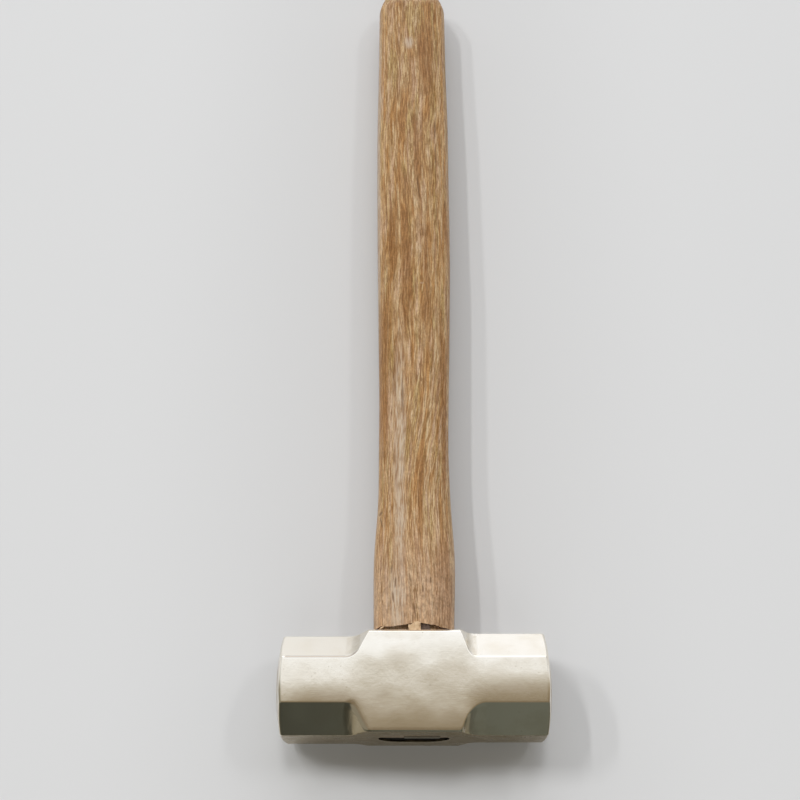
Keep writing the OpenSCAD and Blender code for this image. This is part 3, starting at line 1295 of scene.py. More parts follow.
@dataclass
class Head:
    """The brass head: a square bar with long corner chamfers and an oval eye.

    Attributes:
        length: from striking face to striking face.
        width: side of the square bar.
        corner_leg: leg of the long chamfers.
        block_legs: leg of the slight bevel along each of the block's corners.
        leg_soft: how softly the chamfer's leg goes over to the block's.
        even_x: distances from the middle between which a chamfer's legs become uneven.
        edge_r: rounding of the chamfers' edges.
        edge_share: most of a small leg that the rounding takes up.
        crown_r: radius of the striking faces' dome.
        crown_reach: where the bar's length is measured on it, as a share of the width.
        rim_leg: leg of the bevel round the striking faces.
        rim_gap: distance from the rim to the bar's last section.
        eye_shift: distance from the eye's middle to the centres of its round ends.
        mouth_r: radius of the eye's ends at its mouths.
        waist_r: radius of the eye's ends at its waist.
        mouth_flare: how far the mouths are eased back.
        flare_run: how long the easing is for its width.
        flare_steps: steps of the easing.
        past_mouth: how far the cutter reaches past a mouth, and how much wider it is there.
        run_outs: the run-out of each corner at its left (-1) and right (1) end.
        worn_at: middle of the place where the left run-out of the upper cheek is worn.
        worn_rounds: reach of each pass of the wear, and its number of rounds.
        worn_aspect: how much longer along Y than along X that place is.
        upper_z: height above which the wear works.
        eye_margin: how far from the eye's wall a point still counts as on it.
        mouth_margin: how far inside the mouths the wall ends.
        face_normal: how squarely a striking face points along X.
        top_normal: how squarely the top side points along -Y.
        full_edge_deg: turn of the surface that counts as a full edge.
        work: how the surface was left by hand.
        flat_steps: steps along each flat of a section.
        chamfer_steps: steps along each chamfer.
        round_steps: steps round each rounding.
        rim_steps: steps of the bevel round a striking face.
        face_shares: size of each ring on a striking face.
        eye_sides: sides of the eye's oval.
        coarse_step: distance between two sections.
        fine_step: the same in the run-outs.
        fine_x: distances from the middle between which the run-outs lie.
        ahead: how far ahead of a section the next step is chosen.
        least_gap: least distance between the last two sections.
    """

    length: float = 117.0
    width: float = 42.0
    corner_leg: float = 11.5
    block_legs: dict[Corner, float] = field(default_factory=lambda: {
        Corner.UPPER_HANDLE: 0.9,
        Corner.UPPER_TOP: 0.42,
        Corner.LOWER_TOP: 0.7,
        Corner.LOWER_HANDLE: 0.8,
    })
    leg_soft: float = 0.5
    even_x: Point2 = (12, 18)
    edge_r: float = 0.8
    edge_share: float = 0.7
    crown_r: float = 100.0
    crown_reach: float = 0.55
    rim_leg: float = 1.0
    rim_gap: float = 0.4
    eye_shift: float = 5.7
    mouth_r: float = 9.3
    waist_r: float = 8.4
    mouth_flare: float = 0.06
    flare_run: float = 2.2
    flare_steps: int = 4
    past_mouth: Point2 = (1.5, 1.2)
    run_outs: dict[tuple[Corner, int], RunOut] = field(default_factory=lambda: {
        (Corner.UPPER_HANDLE, -1): RunOut(18.8, 53.0, 7.5, side_share=1.2),
        (Corner.UPPER_HANDLE, 1): RunOut(19.6, 64.0, 4.9, side_share=0.71),
        (Corner.UPPER_TOP, -1): RunOut(21.8, 71.0, 5.6, 5.0),
        (Corner.UPPER_TOP, 1): RunOut(19.5, 72.0, 10.6, 2.6),
        (Corner.LOWER_TOP, -1): RunOut(19.9, 57.0, 5.0, side_share=0.55),
        (Corner.LOWER_TOP, 1): RunOut(19.3, 55.0, 4.4, side_share=0.9),
        (Corner.LOWER_HANDLE, -1): RunOut(19.6, 56.0, 4.6),
        (Corner.LOWER_HANDLE, 1): RunOut(19.2, 58.0, 4.4),
    })
    worn_at: Point2 = (-23.0, -15.0)
    worn_rounds: tuple[tuple[float, int], ...] = ((9.0, 24), (8.0, 28), (7.0, 32))
    worn_aspect: float = 1.45
    upper_z: float = 33.0
    eye_margin: float = 0.12
    mouth_margin: float = 0.9
    face_normal: float = 0.982
    top_normal: float = 0.93
    full_edge_deg: float = 9.0
    work: HandWork = HandWork()
    flat_steps: int = 30
    chamfer_steps: int = 12
    round_steps: int = 5
    rim_steps: int = 6
    face_shares: tuple[float, ...] = (0.93, 0.9, 0.84, 0.77, 0.69, 0.6, 0.51, 0.42, 0.33, 0.24,
                                      0.16, 0.09, 0.035)
    eye_sides: int = 96
    coarse_step: float = 1.25
    fine_step: float = 0.42
    fine_x: Point2 = (16.5, 32.0)
    ahead: float = 0.2
    least_gap: float = 0.8

    def run_out(self, corner: Corner, x: float) -> RunOut:
        """Return a corner's run-out on the side of a place along the head."""
        return self.run_outs[corner, 1 if x >= 0 else -1]

    def leg(self, corner: Corner, x: float) -> float:
        """Leg of a corner's chamfer.

        Args:
            corner: the corner.
            x: place along the head.

        Returns:
            The leg on the cheek.
        """
        full = self.corner_leg / math.sqrt(2)
        leg = self.corner_leg - math.sqrt(2) * self.run_out(corner, x).height(abs(x), full)
        least = self.block_legs[corner]
        return 0.5 * (leg + least + math.hypot(leg - least, self.leg_soft))

    def section(self, x: float) -> list[Point2]:
        """Outline of the head across its axis.

        Args:
            x: place along the head.

        Returns:
            Points (y, z) about the head's long axis, counter-clockwise seen from +x.
        """
        half = self.width / 2
        tips: list[Vector] = []
        radii: list[float] = []
        for corner in Corner:
            sy, sz = corner.value
            leg = self.leg(corner, x)
            uneven = self.run_out(corner, x).side_share - 1
            share = 1 + uneven * between(*self.even_x, abs(x))
            side = Vector((sy * half, sz * (half - leg * share)))
            cheek = Vector((sy * (half - leg), sz * half))
            tips += [side, cheek] if sy * sz > 0 else [cheek, side]
            radii += [min(self.edge_r, self.edge_share * leg)] * 2
        return self.round_off(tips, radii)

    def round_off(self, tips: Sequence[Vector], radii: Sequence[float]) -> list[Point2]:
        """Round the eight tips of a section and share points out along its edges.

        Args:
            tips: the tips, each chamfer's two in turn.
            radii: rounding of each tip.

        Returns:
            The points of the outline.
        """
        points: list[Vector] = []
        count = len(tips)
        ways = [(tips[(i + 1) % count] - tips[i]).normalized() for i in range(count)]
        turns = [ways[i - 1].angle(ways[i]) for i in range(count)]
        trims = [radius * math.tan(turn / 2) for radius, turn in zip(radii, turns)]
        for i, tip in enumerate(tips):
            way_in, turn, trim, radius = ways[i - 1], turns[i], trims[i], radii[i]
            inward = Vector((-way_in.y, way_in.x))
            centre = tip - way_in * trim + inward * radius
            for k in range(self.round_steps + 1):
                spoke = (-inward).copy()
                spoke.rotate(Matrix.Rotation(turn * k / self.round_steps, 2))
                points.append(centre + spoke * radius)
            start = tip + ways[i] * trim
            end = tips[(i + 1) % count] - ways[i] * trims[(i + 1) % count]
            steps = self.chamfer_steps if i % 2 == 0 else self.flat_steps
            points += [start.lerp(end, k / steps) for k in range(1, steps)]
        return [(p.x, p.y) for p in points]

    def last_station(self) -> float:
        """Return how far from the middle the bar's last section before a rim is."""
        return self.face_x(self.width * self.crown_reach) - self.rim_leg - self.rim_gap

    def stations(self) -> list[float]:
        """Places of the sections between the two rims.

        Returns:
            The places, from left to right.
        """
        end = self.last_station()
        places = [-end]
        while places[-1] < end - self.least_gap:
            fine = self.fine_x[0] < abs(places[-1] + self.ahead) < self.fine_x[1]
            places.append(places[-1] + (self.fine_step if fine else self.coarse_step))
        return [*places[:-1], end]

    def face_x(self, reach: float) -> float:
        """Return how far out a striking face is at a distance from its middle."""
        drop = self.crown_r - math.sqrt(self.crown_r ** 2 - reach ** 2)
        return self.length / 2 - drop

    def end_rings(self, side: int) -> list[list[Vector]]:
        """Rings of one end, from its rim to the middle of its striking face.

        Args:
            side: -1 for the left end and 1 for the right.

        Returns:
            The rings, outermost first.
        """
        outline = self.section(side * self.last_station())
        rings = []
        for k in range(self.rim_steps + 1):
            angle = math.pi / 2 * k / self.rim_steps
            back = self.rim_leg * (1 - math.sin(angle))
            inset = self.rim_leg * (1 - math.cos(angle))
            rings.append((1 - inset / (self.width / 2), back))
        rings += [(share, 0.0) for share in self.face_shares]
        return [
            [
                Vector((side * (self.face_x(math.hypot(y, z) * share) - back),
                        y * share, AXIS_Z + z * share))
                for y, z in outline
            ]
            for share, back in rings
        ]

    def bar(self) -> BMesh:
        """Draw the bar with its chamfers, run-outs and domed faces.

        Returns:
            The bar, not yet pierced.
        """
        left, right = self.end_rings(-1), self.end_rings(1)
        middle = [[Vector((x, y, AXIS_Z + z)) for y, z in self.section(x)]
                  for x in self.stations()]
        return loft([*reversed(left), *middle, *right])

    def eye_radius(self, y: float) -> float:
        """Return the radius of the eye's round ends at a place across the head."""
        share = min(1.0, abs(y) / (self.width / 2))
        return self.waist_r + (self.mouth_r - self.waist_r) * share

    def eye_cutter(self) -> BMesh:
        """Draw the shape of the eye with its eased mouths.

        Returns:
            The shape, to be cut out.
        """
        half, flare = self.width / 2, self.mouth_flare
        run = self.flare_run * flare
        halves = [(0.0, 0.0), (half * 0.5, 0.0), (half - run, 0.0)]
        for k in range(1, self.flare_steps + 1):
            angle = math.pi / 2 * k / self.flare_steps
            halves.append((half - run * (1 - math.sin(angle)), flare * (1 - math.cos(angle))))
        past, wider = self.past_mouth
        halves.append((half + past, flare + wider))
        rows = [(-y, more) for y, more in reversed(halves[1:])] + halves
        return loft([oval(self.eye_radius(y) + more, self.eye_shift, y, self.eye_sides)
                     for y, more in rows])

    def in_eye(self, point: Vector) -> bool:
        """Tell what lies in the eye.

        Args:
            point: the point.

        Returns:
            Whether it lies on the wall of the eye.
        """
        reach = math.hypot(max(0.0, abs(point.x) - self.eye_shift), point.z - AXIS_Z)
        return (abs(point.y) < self.width / 2 - self.mouth_margin
                and reach < self.eye_radius(point.y) + self.eye_margin)

    def worked(self, point: Vector, normal: Vector) -> Vector:
        """Return how handwork moved a point: not at all in the eye."""
        return Vector() if self.in_eye(point) else self.work.move(point, normal)

    def soften(self, bm: BMesh) -> None:
        """Wear the left run-out of the upper cheek down to a soft swelling.

        Args:
            bm: the pierced bar.
        """
        x, y = self.worn_at
        for reach, rounds in self.worn_rounds:
            near = [v for v in bm.verts
                    if math.hypot((v.co.x - x) * self.worn_aspect, v.co.y - y) < reach
                    and v.co.z > self.upper_z]
            for _ in range(rounds):
                bmesh.ops.smooth_vert(bm, verts=near, factor=0.5, use_axis_x=True,
                                      use_axis_y=True, use_axis_z=True)

    def finish_index(self, face: bmesh.types.BMFace) -> int:
        """Choose a face's finish.

        Args:
            face: the face.

        Returns:
            0 for polished, 1 for cast or 2 for sanded.
        """
        if self.in_eye(face.calc_center_median()):
            return 1
        normal = face.normal
        return 2 if abs(normal.x) > self.face_normal or normal.y < -self.top_normal else 0

    def build(self) -> bpy.types.Object:
        """Build and dress the head.

        Returns:
            The finished piece.
        """
        bm = cut(self.bar(), self.eye_cutter())
        self.soften(bm)
        mark_edges(bm, self.full_edge_deg)
        bm.normal_update()
        for face in bm.faces:
            face.material_index = self.finish_index(face)
        displace(bm, self.worked)
        finishes = (PolishedBrass(), CastWall(), SandedBrass())
        return finish_piece(bm, "brass_head", finishes, ("head",))


def oval(radius: float, shift: float, y: float, count: int) -> list[Vector]:
    """Points of an oval across the Y axis.

    Args:
        radius: radius of its two round ends.
        shift: distance from its middle to the centre of each end.
        y: its place along Y.
        count: number of points.

    Returns:
        The points, counter-clockwise seen from -y.
    """
    points = []
    for k in range(count):
        angle = 2 * math.pi * k / count
        side = max(-1.0, min(1.0, OVAL_CROSSING * math.cos(angle)))
        points.append(Vector((radius * math.cos(angle) + shift * side, y,
                              AXIS_Z + radius * math.sin(angle))))
    return points


@dataclass(frozen=True)
class Station:
    """The handle's section at one place.

    Attributes:
        y: place along the handle.
        width: size across X.
        thick: size across Z.
        square: power of the oval, 2 for an ellipse and more for a squarer one.
        lean: how far its middle lies towards +X.
    """

    y: float
    width: float
    thick: float
    square: float
    lean: float

    def values(self) -> tuple[float, ...]:
        """Return the values that change along the handle."""
        return (self.width, self.thick, self.square, self.lean)


@dataclass
class Handle:
    """The turned handle with its tenon, torn shoulder and bevelled butt.

    Attributes:
        stations: sections of the shaft from the shoulder to the butt's bevel.
        tenon_end: place of the tenon's end.
        butt_end: place of the butt's end.
        butt_bevel: how far the butt's bevel draws the section in.
        butt_flat: share of the bevel that is straight.
        butt_curve: power of the curve of the rest.
        butt_steps: how far along the bevel each of its rings is.
        end_steps: size of each ring on the butt's end.
        eye_shift: distance from the tenon's middle to the centres of its round ends.
        eye_mouth_r: radius of the tenon's ends at the mouths of the eye.
        eye_waist_r: radius of the tenon's ends at the waist of the eye.
        tenon_caps: size of each ring on the tenon's end.
        tenon_steps: places of the tenon's rings.
        kerf_end: place where the saw cut for the wedge ends.
        kerf_thick: thickness of the cut at the tenon's end.
        kerf_tip: its thickness where it ends.
        kerf_width: its width, which is more than the tenon's.
        tear: x and y of the torn shoulder's line, on its upper side.
        tear_z: heights between which that line comes in.
        tear_steps: how far out on the shoulder each of its rings is.
        tear_fade: length over which the shaft loses the shape of the tear.
        frayed: unevenness of the shoulder's line on the lower side.
        teeth: small teeth along the whole line.
        pitting: how the pits in the torn face lie.
        pit_depth: their depth.
        pit_rim: share of that depth's rise that lies inside the tenon's ring.
        shoulder_back: how far the torn face lies behind its line.
        warp: broad unevenness of the shaft.
        raised_grain: fine unevenness of the shaft.
        skin_y: place where the shaft's skin starts.
        inner_y: place up to which all faces are cut wood.
        torn_y: place up to which the faces towards the head are torn.
        torn_normal: how squarely those point at the head.
        mouth_y: place where the tenon's near-black wood, which paints the shade in the eye, goes
            over to torn wood.
        sides: sides of each ring.
        step: distance between two rings.
        fine_step: the same beside the shoulder.
        fine_run: length of the shaft that has the fine step.
    """

    stations: tuple[Station, ...] = (
        Station(24.6, 35.2, 26.0, 2.3, 0.2),
        Station(57.0, 36.3, 26.6, 2.3, 0.5),
        Station(84.0, 33.1, 24.6, 2.45, 0.65),
        Station(110.0, 32.5, 24.4, 2.5, 0.5),
        Station(140.0, 33.2, 24.8, 2.6, 0.75),
        Station(200.0, 35.6, 26.4, 2.8, 1.05),
        Station(249.5, 36.7, 27.0, 2.9, 0.8),
        Station(284.5, 36.7, 27.0, 3.0, 0.8),
        Station(330.0, 35.9, 26.7, 3.0, 0.7),
        Station(366.5, 35.6, 26.4, 3.0, 0.65),
    )
    tenon_end: float = -20.0
    butt_end: float = 380.5
    butt_bevel: float = 5.4
    butt_flat: float = 0.35
    butt_curve: float = 1.9
    butt_steps: tuple[float, ...] = (0.08, 0.2, 0.36, 0.54, 0.72, 0.86, 0.95, 1.0)
    end_steps: tuple[float, ...] = (0.96, 0.9, 0.8, 0.65, 0.5, 0.35, 0.2, 0.08)
    eye_shift: float = 5.7
    eye_mouth_r: float = 9.2
    eye_waist_r: float = 8.3
    tenon_caps: tuple[float, ...] = (0.1, 0.4, 0.7, 0.92)
    tenon_steps: tuple[float, ...] = (-19.6, -15, -10, -5, 0, 5, 10, 15, 21)
    kerf_end: float = 8.1
    kerf_thick: float = 6.36
    kerf_tip: float = 1.4
    kerf_width: float = 60.0
    tear: tuple[Point2, ...] = (
        (-18.0, 24.2), (-14.2, 25.0), (-11.5, 24.5), (-9.0, 24.3), (-6.0, 24.6), (-3.0, 24.9),
        (-0.5, 25.5), (3.5, 25.4), (7.0, 25.0), (9.7, 24.8), (11.2, 24.1), (18.0, 24.0),
    )
    tear_z: Point2 = (AXIS_Z - 2, AXIS_Z + 3)
    tear_steps: tuple[float, ...] = (0.0, 0.2, 0.4, 0.58, 0.74, 0.87, 0.96, 1.0)
    tear_fade: float = 7.0
    frayed: Wave = Wave((2.4, 50, 6), 5.1, 0.45)
    teeth: Wave = Wave((0.8, 50, 3), 2.6, 0.22)
    pitting: Wave = Wave((1.6, 50, 1.1), 7.0, 0.5)
    pit_depth: float = 1.2
    pit_rim: float = 0.1
    shoulder_back: float = 0.25
    warp: Wave = Wave((14, 34, 14), 1.7, 0.16)
    raised_grain: Wave = Wave((1.1, 22, 1.1), 6.4, 0.035)
    skin_y: float = 23.0
    inner_y: float = 21.5
    torn_y: float = 27.0
    torn_normal: float = 0.55
    mouth_y: float = 10.0
    sides: int = 144
    step: float = 1.5
    fine_step: float = 0.6
    fine_run: float = 6.0

    def section(self, y: float) -> tuple[float, ...]:
        """Width, thickness, squareness and lean of the shaft at a place.

        Args:
            y: place along the handle.

        Returns:
            The four values, on a smooth line through the stations.
        """
        line = self.stations
        at = max(0, min(len(line) - 2, sum(s.y <= y for s in line) - 1))
        near, far = line[at], line[at + 1]
        before, after = line[max(0, at - 1)], line[min(len(line) - 1, at + 2)]
        span = far.y - near.y
        t = min(1.0, max(0.0, (y - near.y) / span))
        found = []
        for p0, p1, p2, p3 in zip(before.values(), near.values(), far.values(), after.values()):
            slope1 = (p2 - p0) / (far.y - before.y) * span
            slope2 = (p3 - p1) / (after.y - near.y) * span
            found.append(
                (2 * t ** 3 - 3 * t ** 2 + 1) * p1 + (t ** 3 - 2 * t ** 2 + t) * slope1
                + (3 * t ** 2 - 2 * t ** 3) * p2 + (t ** 3 - t ** 2) * slope2)
        return tuple(found)

    def ring(self, y: float, margin: float = 0.0) -> list[Vector]:
        """Points round the shaft.

        Args:
            y: place along the handle.
            margin: how far the ring is drawn in.

        Returns:
            The points.
        """
        width, thick, square, lean = self.section(y)
        points = []
        for k in range(self.sides):
            angle = 2 * math.pi * k / self.sides
            cos, sin = math.cos(angle), math.sin(angle)
            x = (width / 2 - margin) * math.copysign(abs(cos) ** (2 / square), cos)
            z = (thick / 2 - margin) * math.copysign(abs(sin) ** (2 / square), sin)
            points.append(Vector((x + lean, y, AXIS_Z + z)))
        return points

    def tear_line(self, point: Vector) -> float:
        """Where the torn shoulder starts.

        Args:
            point: a point of its outline.

        Returns:
            The place along the handle.
        """
        at = max(1, min(len(self.tear) - 1, sum(x < point.x for x, _ in self.tear)))
        (x0, y0), (x1, y1) = self.tear[at - 1:at + 1]
        line = y0 + (y1 - y0) * min(1.0, max(0.0, (point.x - x0) / (x1 - x0)))
        upper = between(*self.tear_z, point.z)
        start = self.stations[0].y
        frayed = self.frayed.at(point) * (1 - upper)
        return start + frayed + (line - start) * upper + self.teeth.at(point)

    def shoulder_rings(self) -> list[list[Vector]]:
        """Rings of the torn shoulder.

        Returns:
            The rings, from the tenon out to the shaft's skin.
        """
        inner = oval(self.eye_mouth_r, self.eye_shift, 0, self.sides)
        outer = self.ring(self.stations[0].y)
        rings = []
        for share in self.tear_steps:
            row = []
            for near, far in zip(inner, outer):
                point = near.lerp(far, share)
                edge = self.tear_line(far)
                rise = min(1.0, share * (1 - self.pit_rim) + self.pit_rim)
                pit = self.pit_depth * math.sin(math.pi * rise)
                back = self.shoulder_back + pit * (0.5 + self.pitting.at(point))
                point.y = edge + back if share < 1 else edge
                row.append(point)
            rings.append(row)
        return rings

    def shaft_rings(self) -> list[list[Vector]]:
        """Rings of the shaft between the torn shoulder and the butt's bevel.

        Returns:
            The rings, in order.
        """
        start, end = self.stations[0].y, self.stations[-1].y
        edge = [self.tear_line(p) for p in self.ring(start)]
        rings = []
        y = start + self.fine_step
        while y < end:
            fade = 1 - between(start, start + self.tear_fade, y)
            row = self.ring(y)
            for point, torn in zip(row, edge):
                point.y += (torn - start) * fade
            rings.append(row)
            y += self.step if y > start + self.fine_run else self.fine_step
        return rings

    def butt_rings(self) -> list[list[Vector]]:
        """Rings of the butt.

        Returns:
            The rings, from the start of its bevel to the middle of its end.
        """
        start = self.stations[-1].y
        rings = [self.ring(start)]
        length = self.butt_end - start
        for share in self.butt_steps:
            curved = (1 - self.butt_flat) * share ** self.butt_curve
            points = self.ring(start, self.butt_bevel * (self.butt_flat * share + curved))
            rings.append([Vector((p.x, start + length * share, p.z)) for p in points])
        middle, rim = Vector((self.section(start)[3], self.butt_end, AXIS_Z)), rings[-1]
        return rings + [[middle.lerp(p, share) for p in rim] for share in self.end_steps]

    def tenon_ring(self, y: float) -> list[Vector]:
        """Ring of the tenon, which follows the eye's waist.

        Args:
            y: its place along the handle.

        Returns:
            The points.
        """
        share = min(1.0, abs(y) / AXIS_Z)
        radius = self.eye_waist_r + (self.eye_mouth_r - self.eye_waist_r) * share
        return oval(radius, self.eye_shift, y, self.sides)

    def tenon_rings(self) -> list[list[Vector]]:
        """Rings of the tenon.

        Returns:
            The rings, from the middle of its end to the shoulder.
        """
        end = self.tenon_ring(self.tenon_end)
        middle = Vector((0, self.tenon_end, AXIS_Z))
        cap = [[middle.lerp(p, share) for p in end] for share in self.tenon_caps]
        return [*cap, end, *(self.tenon_ring(y) for y in self.tenon_steps)]

    def kerf_cutter(self) -> BMesh:
        """Return the shape of the saw cut that the wedge fills."""
        return plate(self.tenon_end - 1, self.kerf_end, self.kerf_width, self.kerf_thick,
                     self.kerf_tip)

    def wear(self, point: Vector, normal: Vector) -> Vector:
        """How turning, sanding and use moved a point.

        Args:
            point: the point.
            normal: the surface's normal there.

        Returns:
            The move.
        """
        if point.y < self.skin_y:
            return Vector()
        return normal * (self.warp.at(point) + self.raised_grain.at(point))

    def finish_index(self, face: bmesh.types.BMFace) -> int:
        """Choose a face's finish.

        Args:
            face: the face.

        Returns:
            0 for varnished, 1 for torn or 2 for cut, inside the head, near-black as painted shade.
        """
        y = face.calc_center_median().y
        torn = y < self.torn_y and face.normal.y < -self.torn_normal
        if y >= self.inner_y and not torn:
            return 0
        return 1 if y > self.mouth_y else 2

    def build(self) -> bpy.types.Object:
        """Build and dress the handle.

        Returns:
            The finished piece.
        """
        rings = [*self.tenon_rings(), *self.shoulder_rings(), *self.shaft_rings(),
                 *self.butt_rings()]
        bm = cut(loft(rings), self.kerf_cutter())
        for face in bm.faces:
            face.material_index = self.finish_index(face)
        displace(bm, self.wear)
        finishes = (Timber(), TornWood(), SHADED_TENON_END)
        return finish_piece(bm, "oak_handle", finishes, ("handle",))


def plate(from_y: float, to_y: float, width: float, thick: float, tip: float,
          shift: float = 0.0) -> BMesh:
    """A plate across Z that thins along +Y.

    Args:
        from_y: place of its thick end.
        to_y: place of its thin end.
        width: its size along X.
        thick: thickness at its thick end.
        tip: thickness at its thin end.
        shift: place of its middle along X.

    Returns:
        The mesh.
    """
    bm = bmesh.new()
    cube = bmesh.ops.create_cube(bm, size=1.0)["verts"]
    bmesh.ops.scale(bm, vec=(width, to_y - from_y, thick), verts=cube)
    bmesh.ops.translate(bm, vec=(shift, (from_y + to_y) / 2, AXIS_Z), verts=cube)
    thin = [v for v in cube if v.co.y > (from_y + to_y) / 2]
    bmesh.ops.scale(bm, vec=(1, 1, tip / thick), verts=thin,
                    space=Matrix.Translation((0, 0, -AXIS_Z)))
    return bm


@dataclass
class SteelWedge:
    """The small steel wedge across the wooden one.

    Attributes:
        from_y: place of its driven end.
        to_y: place of its tip.
        width: its size along the head.
        thick: thickness at its driven end.
        tip: thickness at its tip.
        shift: how far it sits to one side of the eye's middle.
        edge_r: rounding of its edges.
    """

    from_y: float = -20.6
    to_y: float = -3.6
    width: float = 15.0
    thick: float = 2.6
    tip: float = 0.6
    shift: float = 3.4
    edge_r: float = 0.18

    def build(self) -> bpy.types.Object:
        """Build and dress the wedge.

        Returns:
            The finished piece.
        """
        bm = plate(self.from_y, self.to_y, self.width, self.thick, self.tip, self.shift)
        bmesh.ops.bevel(bm, geom=bm.edges[:], offset=self.edge_r, affect="EDGES", segments=2,
                        profile=0.5, material=-1)
        bmesh.ops.recalc_face_normals(bm, faces=bm.faces)
        return finish_piece(bm, "steel_wedge_plate", (SlotShadedSteel(),),
                            ("steel_wedge",))


@dataclass
class Splinter:
    """A sliver of wood that stands out of the torn shoulder.

    Attributes:
        name: name of the piece.
        root: where it leaves the shoulder.
        tip: where it ends.
        width: its width.
        thick: its thickness.
        finish: its finish.
        seed: number that picks its shape.
        chip_sizes: size along x, y and z of the chips that its sides lost.
        chip_depth: how far they move its sides.
        thinned: how much its sides are drawn in.
        cuts: how often each of its edges is cut to take the chips.
        crisp_deg: angle above which an edge is shaded sharp.
    """

    name: str
    root: Point3
    tip: Point3
    width: float
    thick: float
    finish: Finish
    seed: float
    chip_sizes: Point3 = (1.1, 1.6, 0.9)
    chip_depth: float = 0.7
    thinned: float = 0.12
    cuts: int = 5
    crisp_deg: float = 30.0

    def tear(self, point: Vector, normal: Vector) -> Vector:
        """Return how the tear moved a point, given the surface's normal there."""
        waves = (Wave(self.chip_sizes, self.seed + i, self.chip_depth) for i in range(3))
        return Vector([wave.at(point) for wave in waves]) - normal * self.thinned

    def build(self) -> bpy.types.Object:
        """Build and dress the sliver.

        Returns:
            The finished piece.
        """
        root, tip = Vector(self.root), Vector(self.tip)
        way = tip - root
        bm = bmesh.new()
        cube = bmesh.ops.create_cube(bm, size=1.0)["verts"]
        bmesh.ops.scale(bm, vec=(self.width, way.length, self.thick), verts=cube)
        bmesh.ops.subdivide_edges(bm, edges=bm.edges[:], cuts=self.cuts, use_grid_fill=True)
        turn = Vector((0, 1, 0)).rotation_difference(way).to_matrix()
        bmesh.ops.rotate(bm, cent=(0, 0, 0), matrix=turn, verts=bm.verts)
        bmesh.ops.translate(bm, vec=(root + tip) / 2, verts=bm.verts)
        displace(bm, self.tear)
        return finish_piece(bm, self.name, (self.finish,),
                            crisp_deg=self.crisp_deg)


@dataclass(frozen=True)
class Lamp:
    """A distant strip lamp that runs along Y, as a ceiling's light panels do.

    It shows neither to the camera nor in mirrors.

    Attributes:
        name: its name.
        towards: direction from the hammer to the lamp.
        share: share of the floor's light that it gives.
        wide_deg: how wide it looks across.
        long_deg: how long it looks.
        distance_m: how far away it hangs, in metres.
        aim: point that it shines at.
    """

    name: str
    towards: Point3
    share: float
    wide_deg: float
    long_deg: float
    distance_m: float = 8.0
    aim: Point3 = (0.0, 150.0, 0.0)

    def size(self, angle_deg: float) -> float:
        """Return the size that looks as wide as an angle from the hammer."""
        return 2 * self.distance_m * math.tan(math.radians(angle_deg / 2))

    def build(self) -> None:
        """Hang the lamp."""
        data = bpy.data.lights.new(self.name, "AREA")
        data.shape = "RECTANGLE"
        data.size, data.size_y = self.size(self.wide_deg), self.size(self.long_deg)
        way = Vector(self.towards).normalized()
        data.energy = self.share * (math.pi * self.distance_m) ** 2 / way.z
        lamp = bpy.data.objects.new(self.name, data)
        lamp.location = way * self.distance_m + Vector(self.aim) * MM
        across = Vector((0, 1, 0)).cross(way).normalized()
        lamp.rotation_euler = Matrix((across, way.cross(across), way)).transposed().to_euler()
        lamp.visible_camera = lamp.visible_glossy = False
        bpy.context.scene.collection.objects.link(lamp)


class Way(Enum):
    """What a limit in the room is measured along, as parts of a direction of length 1."""

    X = "right"
    Y = "towards the window"
    Z = "up"
    ASIDE = "to either side"


@dataclass(frozen=True)
class RoomPart:
    """A part of the room that the polished metal mirrors.

    Attributes:
        colour: its colour.
        limits: its soft limits, each along one way.
    """

    colour: Colour
    limits: tuple[tuple[Way, Span], ...]


